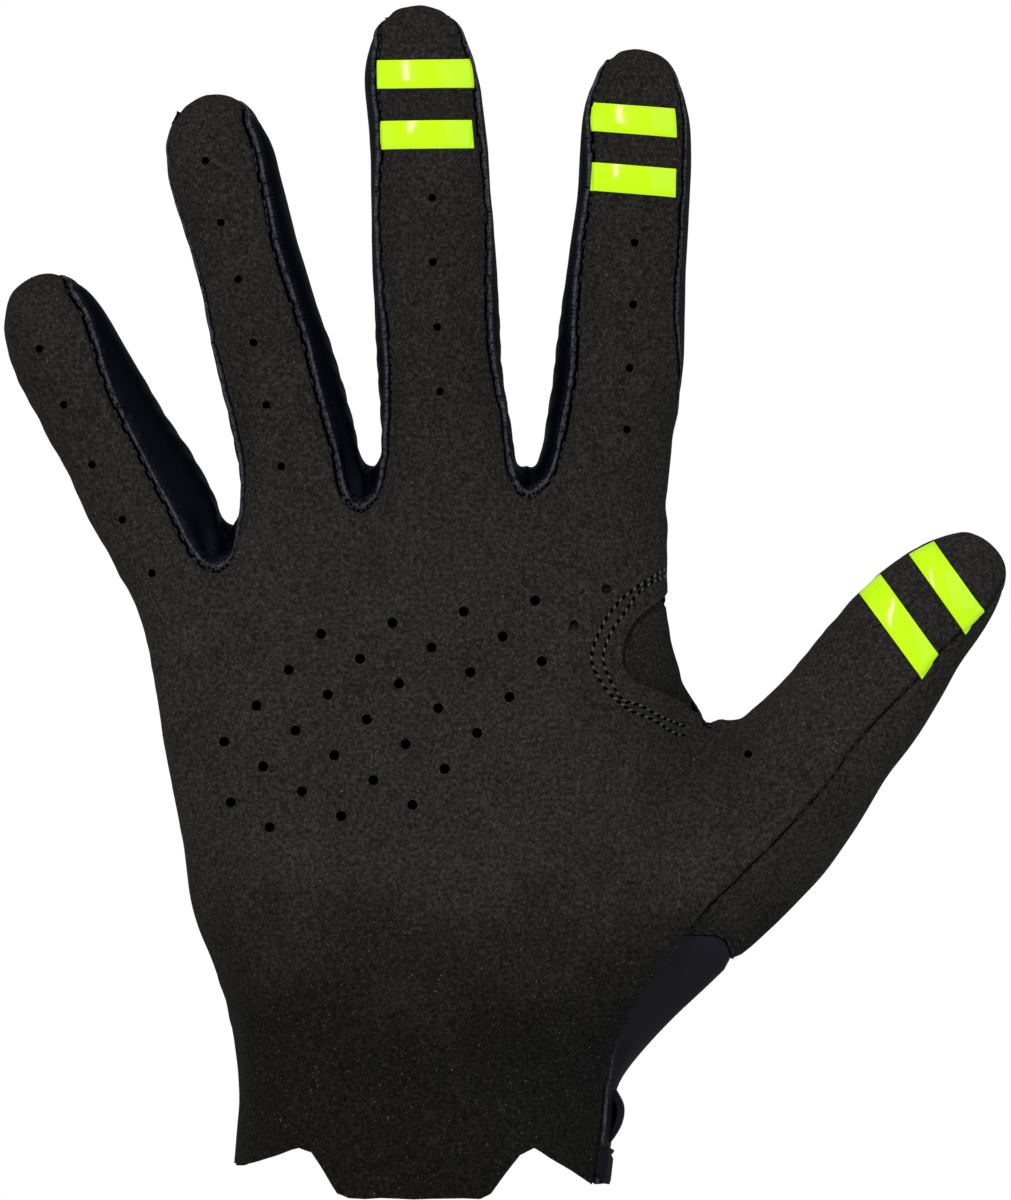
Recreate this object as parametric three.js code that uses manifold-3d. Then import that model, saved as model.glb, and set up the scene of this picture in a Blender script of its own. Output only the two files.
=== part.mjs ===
// Full-finger cycling glove for a right hand, filled as if worn.
// The palm faces -Y, the fingertips point to +Z and the thumb lies on the +X side.
// The origin is the centre of the wrist opening.
import * as THREE from 'three';
import { mergeVertices } from 'three/addons/utils/BufferGeometryUtils.js';
import Module from 'manifold-3d';

const wasm = await Module();
wasm.setup();

// Driving sizes in millimetres
const PALM_WIDTH = 90;
const PALM_LENGTH = 113;
const PALM_DEPTH = 30;
const WRIST_WIDTH = 67;
const WRIST_DEPTH = 41;
const SUEDE_WALL = 1.2;
const STRETCH_WALL = 1.0;
const INSERT_WALL = 1.0;
const SEAM_GAP = 0.3;
const FINGER_CURL_DEPTH = 3;
const STRIPE_WIDTH = 5;
const STRIPE_THICKNESS = 0.7;
const PALM_HOLE = 1.8;
const FINGER_HOLE = 1.4;
const HOLE_STEP_ACROSS = 12.7;
const HOLE_STEP_DOWN = 8.5;
const HEM_TAB_WIDTH = 3.2;
const HEM_TAB_HEIGHT = 5.6;
const HEM_TAB_THICKNESS = 1.0;

// Squareness of every section: 2 is an ellipse, more is squarer
const SECTION_POWER = 2.3;
const TIP_START = 0.8;
const SHAFT_END = 0.83;
const TIP_POWER = 2.2;
// Share of a finger where its side strips run out
const STRIP_END = 0.985;
const STRIP_TURN = 0.93;

const FULL_TURN = 360;

// Grid counts
const FRONT_CELLS = 6;
const SIDE_CELLS = 4;
const BACK_CELLS = 5;
const ROOT_CELLS = 3;
const SHAFT_CELLS = 5;
const TIP_ROWS = [0.89, 0.93, 0.96, STRIP_END];
const THUMB_ROOT_CELLS = 4;
const WRIST_SIDE_CELLS = 4;
const RUN_STEPS = 160;

// Sections of each finger from root to tip.
// at: share of the length; left, right: reach either side of the axis as shares of the width;
// thick: share of the depth; seamLeft, seamRight: palm seam round the section in degrees from its front.
const LITTLE_SECTIONS = [
  { at: 0.15, left: 0.45, right: 0.60, thick: 1.00, seamLeft: -100, seamRight: 9 },
  { at: 0.30, left: 0.51, right: 0.56, thick: 0.98, seamLeft: -100, seamRight: 9 },
  { at: 0.45, left: 0.515, right: 0.49, thick: 0.96, seamLeft: -100, seamRight: 11 },
  { at: 0.60, left: 0.55, right: 0.43, thick: 0.94, seamLeft: -100, seamRight: 15 },
  { at: 0.75, left: 0.58, right: 0.385, thick: 0.88, seamLeft: -100, seamRight: 26 },
  { at: 0.90, left: 0.55, right: 0.34, thick: 0.80, seamLeft: -98, seamRight: 38 },
  { at: 1.00, left: 0.54, right: 0.32, thick: 0.76, seamLeft: -95, seamRight: 45 },
];
const RING_SECTIONS = [
  { at: 0.15, left: 0.40, right: 0.69, thick: 1.00, seamLeft: -62, seamRight: 31 },
  { at: 0.30, left: 0.395, right: 0.64, thick: 0.98, seamLeft: -65, seamRight: 28 },
  { at: 0.45, left: 0.42, right: 0.585, thick: 0.96, seamLeft: -66, seamRight: 32 },
  { at: 0.60, left: 0.41, right: 0.51, thick: 0.94, seamLeft: -68, seamRight: 30 },
  { at: 0.75, left: 0.45, right: 0.478, thick: 0.88, seamLeft: -80, seamRight: 32 },
  { at: 0.90, left: 0.50, right: 0.465, thick: 0.80, seamLeft: -84, seamRight: 40 },
  { at: 1.00, left: 0.50, right: 0.46, thick: 0.76, seamLeft: -86, seamRight: 50 },
];
const MIDDLE_SECTIONS = [
  { at: 0.15, left: 0.47, right: 0.61, thick: 1.00, seamLeft: -64, seamRight: 64 },
  { at: 0.30, left: 0.464, right: 0.544, thick: 0.98, seamLeft: -52, seamRight: 54 },
  { at: 0.45, left: 0.468, right: 0.557, thick: 0.96, seamLeft: -58, seamRight: 49 },
  { at: 0.60, left: 0.457, right: 0.519, thick: 0.94, seamLeft: -62, seamRight: 64 },
  { at: 0.75, left: 0.453, right: 0.507, thick: 0.88, seamLeft: -51, seamRight: 58 },
  { at: 0.90, left: 0.505, right: 0.471, thick: 0.80, seamLeft: -50, seamRight: 63 },
  { at: 1.00, left: 0.50, right: 0.47, thick: 0.76, seamLeft: -60, seamRight: 66 },
];
const INDEX_SECTIONS = [
  { at: 0.15, left: 0.543, right: 0.498, thick: 1.00, seamLeft: -42, seamRight: 97 },
  { at: 0.30, left: 0.508, right: 0.568, thick: 0.98, seamLeft: -38, seamRight: 70 },
  { at: 0.45, left: 0.465, right: 0.546, thick: 0.96, seamLeft: -48, seamRight: 53 },
  { at: 0.60, left: 0.443, right: 0.531, thick: 0.94, seamLeft: -50, seamRight: 54 },
  { at: 0.75, left: 0.442, right: 0.50, thick: 0.88, seamLeft: -44, seamRight: 56 },
  { at: 0.90, left: 0.447, right: 0.447, thick: 0.80, seamLeft: -62, seamRight: 64 },
  { at: 1.00, left: 0.44, right: 0.44, thick: 0.76, seamLeft: -66, seamRight: 68 },
];
const THUMB_SECTIONS = [
  { at: 0.30, left: 0.453, right: 0.673, thick: 1.10, seamLeft: -100, seamRight: 18 },
  { at: 0.45, left: 0.421, right: 0.602, thick: 1.02, seamLeft: -100, seamRight: 18 },
  { at: 0.60, left: 0.438, right: 0.555, thick: 1.00, seamLeft: -100, seamRight: 24 },
  { at: 0.75, left: 0.434, right: 0.469, thick: 0.92, seamLeft: -100, seamRight: 37 },
  { at: 0.90, left: 0.36, right: 0.416, thick: 0.80, seamLeft: -98, seamRight: 54 },
  { at: 1.00, left: 0.35, right: 0.40, thick: 0.76, seamLeft: -95, seamRight: 66 },
];

// Fingers from the little finger to the index.
// rootX is a share of the palm width and rootZ of the palm length; lean is in degrees towards +X.
// start: share of the length where the finger is a plain tube; back: angle of its back seams.
const FINGERS = [
  { name: 'little', length: 63.1, width: 20, depth: 17, lean: -24.2, rootX: -0.459, rootZ: 0.875,
    start: 0.24, back: 125, advance: 0, sections: LITTLE_SECTIONS },
  { name: 'ring', length: 79.9, width: 20.3, depth: 18.5, lean: -11.5, rootX: -0.243, rootZ: 0.968,
    start: 0.20, back: 120, advance: 0, sections: RING_SECTIONS },
  { name: 'middle', length: 90.8, width: 21.5, depth: 19.5, lean: -2.6, rootX: 0.031, rootZ: 0.999,
    start: 0.20, back: 120, advance: 0, sections: MIDDLE_SECTIONS },
  { name: 'index', length: 83.2, width: 21.2, depth: 19, lean: 4.6, rootX: 0.345, rootZ: 0.999,
    start: 0.19, back: 120, advance: 0, sections: INDEX_SECTIONS },
];
const THUMB = { name: 'thumb', length: 75.6, width: 24.2, depth: 21, lean: 42.1, rootX: 0.541,
  rootZ: 0.469, start: 0.32, back: 260, advance: 4, sections: THUMB_SECTIONS };

// Crotches between the fingers, and the two outer ends of the finger roots.
// x, z: lowest point of the palm seam; webX, webZ: deepest point of the web seen from the front;
// all are shares of the palm width and the palm length.
const CROTCHES = [
  { x: -0.563, z: 0.867, webX: -0.563, webZ: 0.867 },
  { x: -0.410, z: 0.917, webX: -0.367, webZ: 0.989 },
  { x: -0.126, z: 1.012, webX: -0.100, webZ: 1.084 },
  { x: 0.208, z: 1.035, webX: 0.208, webZ: 1.078 },
  { x: 0.4706, z: 1.015, webX: 0.4706, webZ: 1.015 },
];
// Depth of the palm seam at a crotch and of the back seam, as shares of the palm depth
const CROTCH_FRONT = -0.28;
const CROTCH_BACK = 0.28;
const CROTCH_BACK_DROP = 0.05;
const OUTER_SEAM = 0.05;

// Rows of the palm from below the cuff to under the finger roots.
// x values are shares of the local width, z values of the palm length, and half and middle are shares
// of the local depth; turn is the angle in degrees of the palm panel's right edge round the row.
const PALM_ROWS = [
  { leftX: -0.511, leftZ: -0.066, rightX: 0.442, rightZ: -0.066, turn: 68, half: 0.50, middle: 0.00 },
  { leftX: -0.487, leftZ: 0.047, rightX: 0.466, rightZ: 0.047, turn: 68, half: 0.50, middle: 0.00 },
  { leftX: -0.485, leftZ: 0.117, rightX: 0.485, rightZ: 0.117, turn: 68, half: 0.50, middle: 0.00 },
  { leftX: -0.488, leftZ: 0.194, rightX: 0.520, rightZ: 0.194, turn: 56, half: 0.51, middle: -0.01 },
  { leftX: -0.491, leftZ: 0.266, rightX: 0.540, rightZ: 0.273, turn: 44, half: 0.53, middle: -0.02 },
  { leftX: -0.495, leftZ: 0.333, rightX: 0.554, rightZ: 0.362, turn: 38, half: 0.55, middle: -0.03 },
  { leftX: -0.499, leftZ: 0.401, rightX: 0.546, rightZ: 0.465, turn: 46, half: 0.55, middle: -0.03 },
  { leftX: -0.491, leftZ: 0.472, rightX: 0.548, rightZ: 0.562, turn: 62, half: 0.54, middle: -0.02 },
  { leftX: -0.489, leftZ: 0.543, rightX: 0.555, rightZ: 0.667, turn: 97, half: 0.52, middle: -0.01 },
  { leftX: -0.498, leftZ: 0.606, rightX: 0.510, rightZ: 0.742, turn: 97, half: 0.50, middle: 0.00 },
  { leftX: -0.516, leftZ: 0.687, rightX: 0.486, rightZ: 0.812, turn: 97, half: 0.48, middle: 0.00 },
];
const LEFT_TURN = -100;
const CUFF_ROW = 2;
const CROTCH_ROW = 8;
const UPPER_ROWS = 2;
// Share by which the upper rows head straight for the finger roots
const UPPER_EASE = 0.5;
// Share of the palm length over which the wrist sizes pass into the palm sizes
const WRIST_FADE_START = 0.1;
const WRIST_FADE_END = 0.6;
// Shares of a row's length at the five finger borders
const FRONT_BORDERS = [0, 0.2, 0.45, 0.725, 1];
const BACK_BORDERS = [0, 0.27, 0.53, 0.78, 1];

// Soft forms of the palm. x, z, reachX and reachZ are shares of the palm width and length,
// rise is a share of the palm depth towards the palm side.
const PALM_FORMS = [
  { x: 0.42, z: 0.46, reachX: 0.26, reachZ: 0.24, rise: 0.16 },
  { x: -0.36, z: 0.36, reachX: 0.20, reachZ: 0.28, rise: 0.07 },
  { x: -0.02, z: 0.48, reachX: 0.22, reachZ: 0.26, rise: -0.09 },
  { x: -0.05, z: 0.88, reachX: 0.42, reachZ: 0.10, rise: 0.05 },
  { x: 0.53, z: 0.66, reachX: 0.14, reachZ: 0.11, rise: -0.16 },
];
// How fast the forms fade towards the panel's sides
const FORM_FADE = 0.5;

// Lower edge of the palm panel, with its tongue between two notches, and the straight edge of the back.
// x is a share of the wrist width, z of the palm length.
const PALM_EDGE = [
  { x: -0.80, z: -0.006 },
  { x: -0.516, z: -0.006 },
  { x: -0.466, z: -0.005 },
  { x: -0.327, z: 0.022 },
  { x: -0.295, z: 0.016 },
  { x: -0.227, z: -0.048 },
  { x: -0.198, z: -0.056 },
  { x: 0.148, z: -0.056 },
  { x: 0.177, z: -0.047 },
  { x: 0.253, z: 0.012 },
  { x: 0.290, z: 0.022 },
  { x: 0.443, z: -0.036 },
  { x: 0.80, z: -0.036 },
];
const BACK_EDGE = [
  { x: -0.80, z: -0.010 },
  { x: -0.47, z: -0.010 },
  { x: -0.34, z: 0.027 },
  { x: 0.29, z: 0.027 },
  { x: 0.45, z: -0.036 },
  { x: 0.80, z: -0.036 },
];

// Half-lens cutout over the insert at the index side, as shares of the palm width and length
const CUTOUT = [
  { x: 0.600, z: 0.905 },
  { x: 0.500, z: 0.905 },
  { x: 0.470, z: 0.878 },
  { x: 0.421, z: 0.848 },
  { x: 0.395, z: 0.815 },
  { x: 0.389, z: 0.779 },
  { x: 0.405, z: 0.753 },
  { x: 0.449, z: 0.736 },
  { x: 0.507, z: 0.715 },
  { x: 0.530, z: 0.700 },
  { x: 0.600, z: 0.690 },
];
// Columns of the front and of the back grid that the insert spans, and its palm rows
const INSERT_FRONT_COLUMNS = 6;
const INSERT_BACK_COLUMNS = 2;

// Rows of holes in the palm: each starts one step down and to the left of the one above
const FIRST_HOLE = { x: 0.357, z: 0.891 };
const HOLES_IN_ROWS = [5, 5, 5, 5, 4, 4, 3];
const HOLE_ROW_DIRECTION = 188.9;
const HOLE_STEP_DIRECTION = 228;
// Single rows of holes on fingers and thumb: share of the length and share of the width from the axis
const FINGER_HOLES = {
  little: [
    { at: 0.81, aside: -0.30 },
    { at: 0.64, aside: -0.305 },
    { at: 0.455, aside: -0.295 },
    { at: 0.28, aside: -0.25 },
    { at: 0.11, aside: -0.205 },
  ],
  ring: [
    { at: 0.86, aside: -0.145 },
    { at: 0.72, aside: -0.12 },
    { at: 0.59, aside: -0.07 },
    { at: 0.446, aside: -0.052 },
    { at: 0.306, aside: -0.05 },
    { at: 0.167, aside: -0.03 },
  ],
  middle: [
    { at: 0.625, aside: 0.036 },
    { at: 0.50, aside: 0.02 },
    { at: 0.374, aside: 0.03 },
    { at: 0.249, aside: 0.03 },
  ],
  index: [
    { at: 0.59, aside: 0.08 },
    { at: 0.46, aside: 0.11 },
    { at: 0.325, aside: 0.12 },
    { at: 0.195, aside: 0.14 },
  ],
  thumb: [{ at: 0.258, aside: -0.26 }],
};
const HOLE_SIDES = 8;

// Grip stripes: place along the finger and slant across it in degrees
const STRIPES = [
  { name: 'middle_stripe_upper', finger: 2, at: 0.8655, slant: 2 },
  { name: 'middle_stripe_lower', finger: 2, at: 0.748, slant: 2 },
  { name: 'index_stripe_upper', finger: 3, at: 0.849, slant: 0 },
  { name: 'index_stripe_lower', finger: 3, at: 0.723, slant: 0 },
  { name: 'thumb_stripe_upper', finger: 4, at: 0.86, slant: 12.3 },
  { name: 'thumb_stripe_lower', finger: 4, at: 0.712, slant: 12.3 },
];
const HEM_TAB_TURN = 74;
const HEM_TAB_CELLS = 2;
const STRIPE_CELLS = 10;
const STRIPE_EDGE = 3;
const STRIPE_TURN = -74;

// Easing of the skin round the thumb's root: its middle and reach as shares of the palm sizes
const RELAX = { x: 0.54, z: 0.5, reach: 0.3, power: 4, strength: 0.6, least: 0.01, rounds: 6 };

function mix(a, b, share) {
  return a + (b - a) * share;
}

function smooth(low, high, value) {
  const share = Math.min(1, Math.max(0, (value - low) / (high - low)));
  return share * share * (3 - 2 * share);
}

// A column of a table at a given place, on a smooth curve through its rows
function along(table, column, place) {
  const last = table.length - 1;
  if (place <= table[0].at) return table[0][column];
  if (place >= table[last].at) return table[last][column];
  let i = 0;
  while (place > table[i + 1].at) i += 1;
  const a = table[i];
  const b = table[i + 1];
  const before = table[Math.max(0, i - 1)];
  const after = table[Math.min(last, i + 2)];
  const span = b.at - a.at;
  const t = (place - a.at) / span;
  const slopeA = (b[column] - before[column]) / (b.at - before.at) * span;
  const slopeB = (after[column] - a[column]) / (after.at - a.at) * span;
  return hermite(a[column], slopeA, b[column], slopeB, t);
}

function hermite(a, slopeA, b, slopeB, t) {
  const u = 1 - t;
  return a * u * u * (1 + 2 * t) + slopeA * t * u * u + b * t * t * (3 - 2 * t) - slopeB * t * t * u;
}

function hermitePoint(a, slopeA, b, slopeB, t) {
  return new THREE.Vector3(
    hermite(a.x, slopeA.x, b.x, slopeB.x, t),
    hermite(a.y, slopeA.y, b.y, slopeB.y, t),
    hermite(a.z, slopeA.z, b.z, slopeB.z, t),
  );
}

// A sine or cosine drawn out to the squarer section
function square(value) {
  return Math.sign(value) * Math.abs(value) ** (2 / SECTION_POWER);
}

function radians(degrees) {
  return degrees * Math.PI / 180;
}

// Fingers and thumb

function fingerAxis(finger) {
  const lean = radians(finger.lean);
  return {
    along: new THREE.Vector3(Math.sin(lean), 0, Math.cos(lean)),
    across: new THREE.Vector3(Math.cos(lean), 0, -Math.sin(lean)),
  };
}

function tipRound(place) {
  if (place <= TIP_START) return 1;
  const share = Math.min(1, (place - TIP_START) / (1 - TIP_START));
  return (1 - share ** TIP_POWER) ** (1 / TIP_POWER);
}

// Point of a finger's tube at a share of its length and an angle from its front
function fingerPoint(finger, place, degrees) {
  const axis = fingerAxis(finger);
  const left = along(finger.sections, 'left', place) * finger.width;
  const right = along(finger.sections, 'right', place) * finger.width;
  const round = tipRound(place);
  const half = (left + right) / 2 * round;
  const thick = along(finger.sections, 'thick', place) * finger.depth / 2 * round;
  const angle = radians(degrees);
  const aside = (right - left) / 2 + half * square(Math.sin(angle));
  const centre = -FINGER_CURL_DEPTH * place * place - finger.advance;
  return new THREE.Vector3(finger.rootX * PALM_WIDTH, 0, finger.rootZ * PALM_LENGTH)
    .addScaledVector(axis.along, place * finger.length)
    .addScaledVector(axis.across, aside)
    .setY(centre - thick * square(Math.cos(angle)));
}

// Angles of the four seams round a finger, closing to its sides at the tip
function seamAngles(finger, place, outerLeft, outerRight) {
  const turn = smooth(STRIP_TURN, STRIP_END, place);
  const frontLeft = mix(along(finger.sections, 'seamLeft', place), -90, turn);
  const frontRight = mix(along(finger.sections, 'seamRight', place), 90, turn);
  const backLeft = outerLeft ? frontLeft : mix(-finger.back, -90, turn);
  const backRight = outerRight ? frontRight : mix(finger.back, 90, turn);
  return { frontLeft, frontRight, backRight, backLeft: FULL_TURN + backLeft };
}

function spread(from, to, count) {
  return Array.from({ length: count + 1 }, (_, i) => mix(from, to, i / count));
}

// One ring of a finger as four runs of points: front, right side, back and left side
function fingerRing(finger, place, outerLeft, outerRight) {
  const seam = seamAngles(finger, place, outerLeft, outerRight);
  const run = (from, to, count) => spread(from, to, count).map((a) => fingerPoint(finger, place, a));
  return {
    front: run(seam.frontLeft, seam.frontRight, FRONT_CELLS),
    right: run(seam.frontRight, seam.backRight, SIDE_CELLS),
    back: run(seam.backRight, seam.backLeft, BACK_CELLS),
    left: run(seam.backLeft, FULL_TURN + seam.frontLeft, SIDE_CELLS),
  };
}

function fingerPlaces(finger) {
  return [...spread(finger.start, SHAFT_END, SHAFT_CELLS), ...TIP_ROWS];
}

// Palm

function rowSizes(z) {
  const share = smooth(WRIST_FADE_START, WRIST_FADE_END, z);
  return { width: mix(WRIST_WIDTH, PALM_WIDTH, share), depth: mix(WRIST_DEPTH, PALM_DEPTH, share) };
}

function palmForm(x, z) {
  let rise = 0;
  for (const form of PALM_FORMS) {
    const u = (x / PALM_WIDTH - form.x) / form.reachX;
    const v = (z / PALM_LENGTH - form.z) / form.reachZ;
    rise += form.rise * PALM_DEPTH * Math.exp(-(u * u + v * v));
  }
  return rise;
}

// Point of a palm row at an angle from its front
function palmPoint(row, degrees) {
  const leftSize = rowSizes(row.leftZ);
  const rightSize = rowSizes(row.rightZ);
  const left = row.leftX * leftSize.width;
  const right = row.rightX * rightSize.width;
  const reach = square(Math.sin(radians(Math.min(90, row.turn))));
  const half = (right - left) / (1 + reach);
  const angle = radians(degrees);
  const x = left + half + half * square(Math.sin(angle));
  const share = (x - left) / (right - left);
  const z = mix(row.leftZ, row.rightZ, share) * PALM_LENGTH;
  const depth = mix(leftSize.depth, rightSize.depth, share);
  const facing = Math.max(0, Math.cos(angle)) ** FORM_FADE;
  const y = row.middle * depth - row.half * depth * square(Math.cos(angle)) - facing * palmForm(x, z);
  return new THREE.Vector3(x, y, z);
}

// Points of a palm row between two angles, spaced along it by the shares of its length
function palmRun(row, from, to, shares) {
  const points = spread(from, to, RUN_STEPS).map((a) => palmPoint(row, a));
  const lengths = [0];
  for (let i = 1; i <= RUN_STEPS; i += 1) {
    lengths.push(lengths[i - 1] + points[i].distanceTo(points[i - 1]));
  }
  return shares.map((share) => {
    const goal = share * lengths[RUN_STEPS];
    let i = 1;
    while (i < RUN_STEPS && lengths[i] < goal) i += 1;
    const t = (goal - lengths[i - 1]) / (lengths[i] - lengths[i - 1]);
    return points[i - 1].clone().lerp(points[i], Math.min(1, t));
  });
}

// Shares with an even number of cells between each two borders
function borderShares(borders, cells) {
  const shares = [0];
  for (let i = 1; i < borders.length; i += 1) {
    for (let k = 1; k <= cells; k += 1) shares.push(mix(borders[i - 1], borders[i], k / cells));
  }
  return shares;
}

const FRONT_SHARES = borderShares(FRONT_BORDERS, FRONT_CELLS);
const BACK_SHARES = borderShares(BACK_BORDERS, BACK_CELLS);

// A palm row as its front, left to right, its side past the panel's edge, and its back, right to left
function palmRow(row) {
  const closed = row.turn > 90;
  const backTurn = closed ? row.turn : 180 - row.turn;
  return {
    front: palmRun(row, LEFT_TURN, row.turn, FRONT_SHARES),
    side: spread(row.turn, backTurn, WRIST_SIDE_CELLS).map((a) => palmPoint(row, a)),
    back: palmRun(row, backTurn, FULL_TURN + LEFT_TURN, BACK_SHARES),
  };
}

// Finger roots

function crotchPoint(index, kind) {
  const crotch = CROTCHES[index];
  const outer = index === 0 || index === CROTCHES.length - 1;
  const point = {
    front: [crotch.x, outer ? OUTER_SEAM : CROTCH_FRONT, crotch.z],
    web: [crotch.webX, 0, crotch.webZ],
    back: [crotch.webX, outer ? OUTER_SEAM : CROTCH_BACK, crotch.webZ - (outer ? 0 : CROTCH_BACK_DROP)],
  }[kind];
  return new THREE.Vector3(point[0] * PALM_WIDTH, point[1] * PALM_DEPTH, point[2] * PALM_LENGTH);
}

// A run of a finger's first section, moved so that its two ends meet the given points
function fittedRun(points, first, last) {
  const count = points.length - 1;
  const shiftFirst = first.clone().sub(points[0]);
  const shiftLast = last.clone().sub(points[count]);
  return points.map((p, i) => p.clone().add(shiftFirst.clone().lerp(shiftLast, i / count)));
}

// The web between two seams, an arc through its deepest point
function webRun(index) {
  const front = crotchPoint(index, 'front');
  const back = crotchPoint(index, 'back');
  const deepest = crotchPoint(index, 'web');
  const pull = deepest.clone().multiplyScalar(2).sub(front.clone().add(back).multiplyScalar(0.5));
  return new THREE.QuadraticBezierCurve3(front, pull, back).getPoints(SIDE_CELLS);
}

const ROOT_PLACE = 0.06;

function fingerRoot(number) {
  const finger = FINGERS[number];
  const outerLeft = number === 0;
  const outerRight = number === FINGERS.length - 1;
  const ring = fingerRing(finger, ROOT_PLACE, outerLeft, outerRight);
  return {
    front: fittedRun(ring.front, crotchPoint(number, 'front'), crotchPoint(number + 1, 'front')),
    right: webRun(number + 1),
    back: fittedRun(ring.back, crotchPoint(number + 1, 'back'), crotchPoint(number, 'back')),
    left: webRun(number).reverse(),
  };
}

// Rows of a finger from its root to the first plain ring.
// lateral says how far a point leaves sideways instead of along the finger, and outward the direction
// in which the surface that it grows from runs on.
function rootRows(root, ring, finger, cells, lateral, outward = () => null) {
  const axis = fingerAxis(finger);
  const rows = [];
  for (let k = 0; k <= cells; k += 1) {
    const row = {};
    for (const run of Object.keys(root)) {
      row[run] = root[run].map((point, i) => {
        const end = ring[run][i];
        const length = point.distanceTo(end);
        const side = lateral(run, i);
        const leave = axis.along.clone().multiplyScalar(1 - Math.abs(side));
        leave.addScaledVector(axis.across, side);
        const onward = outward(run, i);
        if (onward) leave.add(onward).multiplyScalar(0.5);
        leave.multiplyScalar(length);
        const arrive = axis.along.clone().multiplyScalar(length);
        return hermitePoint(point, leave, end, arrive, k / cells);
      });
    }
    rows.push(row);
  }
  return rows;
}

// How far a finger's root leaves sideways at a palm seam, one cell further in and at a back seam
const SEAM_LATERAL = 0.7;
const NEXT_LATERAL = 0.3;
const BACK_LATERAL = 0.3;

// How far each point of a finger's root leaves sideways instead of along the finger
function fingerLateral(outerLeft, outerRight) {
  return (run, i) => {
    if (run === 'front') {
      if (i === 0 && !outerLeft) return SEAM_LATERAL;
      if (i === FRONT_CELLS && !outerRight) return -SEAM_LATERAL;
      if (i === 1 && !outerLeft) return NEXT_LATERAL;
      if (i === FRONT_CELLS - 1 && !outerRight) return -NEXT_LATERAL;
      return 0;
    }
    if (run === 'back') {
      if (i === 0 && !outerRight) return -BACK_LATERAL;
      if (i === BACK_CELLS && !outerLeft) return BACK_LATERAL;
      return 0;
    }
    const share = i / SIDE_CELLS;
    const edge = 1 - 4 * share * (1 - share);
    const front = run === 'right' ? 1 - share : share;
    const most = mix(BACK_LATERAL, SEAM_LATERAL, front);
    const amount = mix(BACK_LATERAL, most, edge);
    if (run === 'right') return outerRight ? 0 : -amount;
    return outerLeft ? 0 : amount;
  };
}

// The skin of the whole glove, one welded surface whose faces carry the name of their panel

const skin = { points: [], places: new Map(), faces: [] };

function skinPoint(point) {
  const key = [point.x, point.y, point.z].map((v) => Math.round(v * 1000)).join(' ');
  if (!skin.places.has(key)) {
    skin.places.set(key, skin.points.length);
    skin.points.push(point.clone());
  }
  return skin.places.get(key);
}

function addFace(a, b, c, panel) {
  if (a === b || b === c || c === a) return;
  skin.faces.push({ corners: [a, b, c], panel });
}

// Two rows of points, the second further up, become a band of faces
function addBand(lower, upper, panel) {
  for (let i = 0; i + 1 < lower.length; i += 1) {
    const a = skinPoint(lower[i]);
    const b = skinPoint(lower[i + 1]);
    const c = skinPoint(upper[i + 1]);
    const d = skinPoint(upper[i]);
    addFace(a, b, c, panel);
    addFace(a, c, d, panel);
  }
}

function addRows(rows, panel) {
  for (let k = 0; k + 1 < rows.length; k += 1) addBand(rows[k], rows[k + 1], panel);
}

const FOURCHETTES = ['fourchette_little_ring', 'fourchette_ring_middle', 'fourchette_middle_index'];

function addFinger(number) {
  const finger = FINGERS[number];
  const outerLeft = number === 0;
  const outerRight = number === FINGERS.length - 1;
  const places = fingerPlaces(finger);
  const rings = places.map((place) => fingerRing(finger, place, outerLeft, outerRight));
  const lateral = fingerLateral(outerLeft, outerRight);
  const roots = rootRows(fingerRoot(number), rings[0], finger, ROOT_CELLS, lateral);
  const rows = [...roots.slice(0, -1), ...rings];
  const tip = fingerPoint(finger, 1, 0);
  const tipRun = (run) => run.map(() => tip);
  const column = (run) => rows.map((row) => row[run]);
  addRows([...column('front'), tipRun(rows[0].front)], 'palm_panel');
  addRows([...column('back'), tipRun(rows[0].back)], 'back_panel');
  if (!outerRight) addRows(column('right'), FOURCHETTES[number]);
  if (!outerLeft) addRows(column('left'), FOURCHETTES[number - 1]);
  return { front: roots[0].front, back: roots[0].back, nextFront: rings[0].front, nextBack: rings[0].back };
}

function joinRuns(runs) {
  return runs.flatMap((run, i) => (i === 0 ? run : run.slice(1)));
}

// Rows between the top palm row and the finger roots, on smooth curves through both
function upperRows(below, top, root, above) {
  const rows = [];
  for (let k = 0; k <= UPPER_ROWS + 1; k += 1) {
    const t = k / (UPPER_ROWS + 1);
    rows.push(top.map((point, i) => {
      const rise = root[i].clone().sub(point);
      const leave = point.clone().sub(below[i]).normalize().multiplyScalar(rise.length());
      const arrive = above[i].clone().sub(root[i]).normalize().multiplyScalar(rise.length());
      arrive.lerp(rise, UPPER_EASE);
      return hermitePoint(point, leave, root[i], arrive, t);
    }));
  }
  return rows;
}

function addHand() {
  const rows = PALM_ROWS.map(palmRow);
  const fingers = FINGERS.map((_, i) => addFinger(i));
  const backwards = [...fingers].reverse();
  const top = rows.length - 1;
  const upFront = upperRows(rows[top - 1].front, rows[top].front,
    joinRuns(fingers.map((f) => f.front)), joinRuns(fingers.map((f) => f.nextFront)));
  const upBack = upperRows(rows[top - 1].back, rows[top].back,
    joinRuns(backwards.map((f) => f.back)), joinRuns(backwards.map((f) => f.nextBack)));
  addRows([...rows.map((row) => row.front), ...upFront.slice(1)], 'palm_panel');
  addRows([...rows.map((row) => row.back), ...upBack.slice(1)], 'back_panel');
  addRows(rows.slice(0, CUFF_ROW + 1).map((row) => row.side), 'back_panel');
  addThumb(rows);
  return { rows, upFront, upBack };
}

// How far the thumb's root leaves sideways: its front from the crotch to the seam, then its outer side
const THUMB_FRONT_LATERAL = [0.35, 0, 0, 0, 0, -0.25, -0.5];
const THUMB_SIDE_LATERAL = [-0.5, -0.1, 0.3, 0.3, 0];

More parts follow.
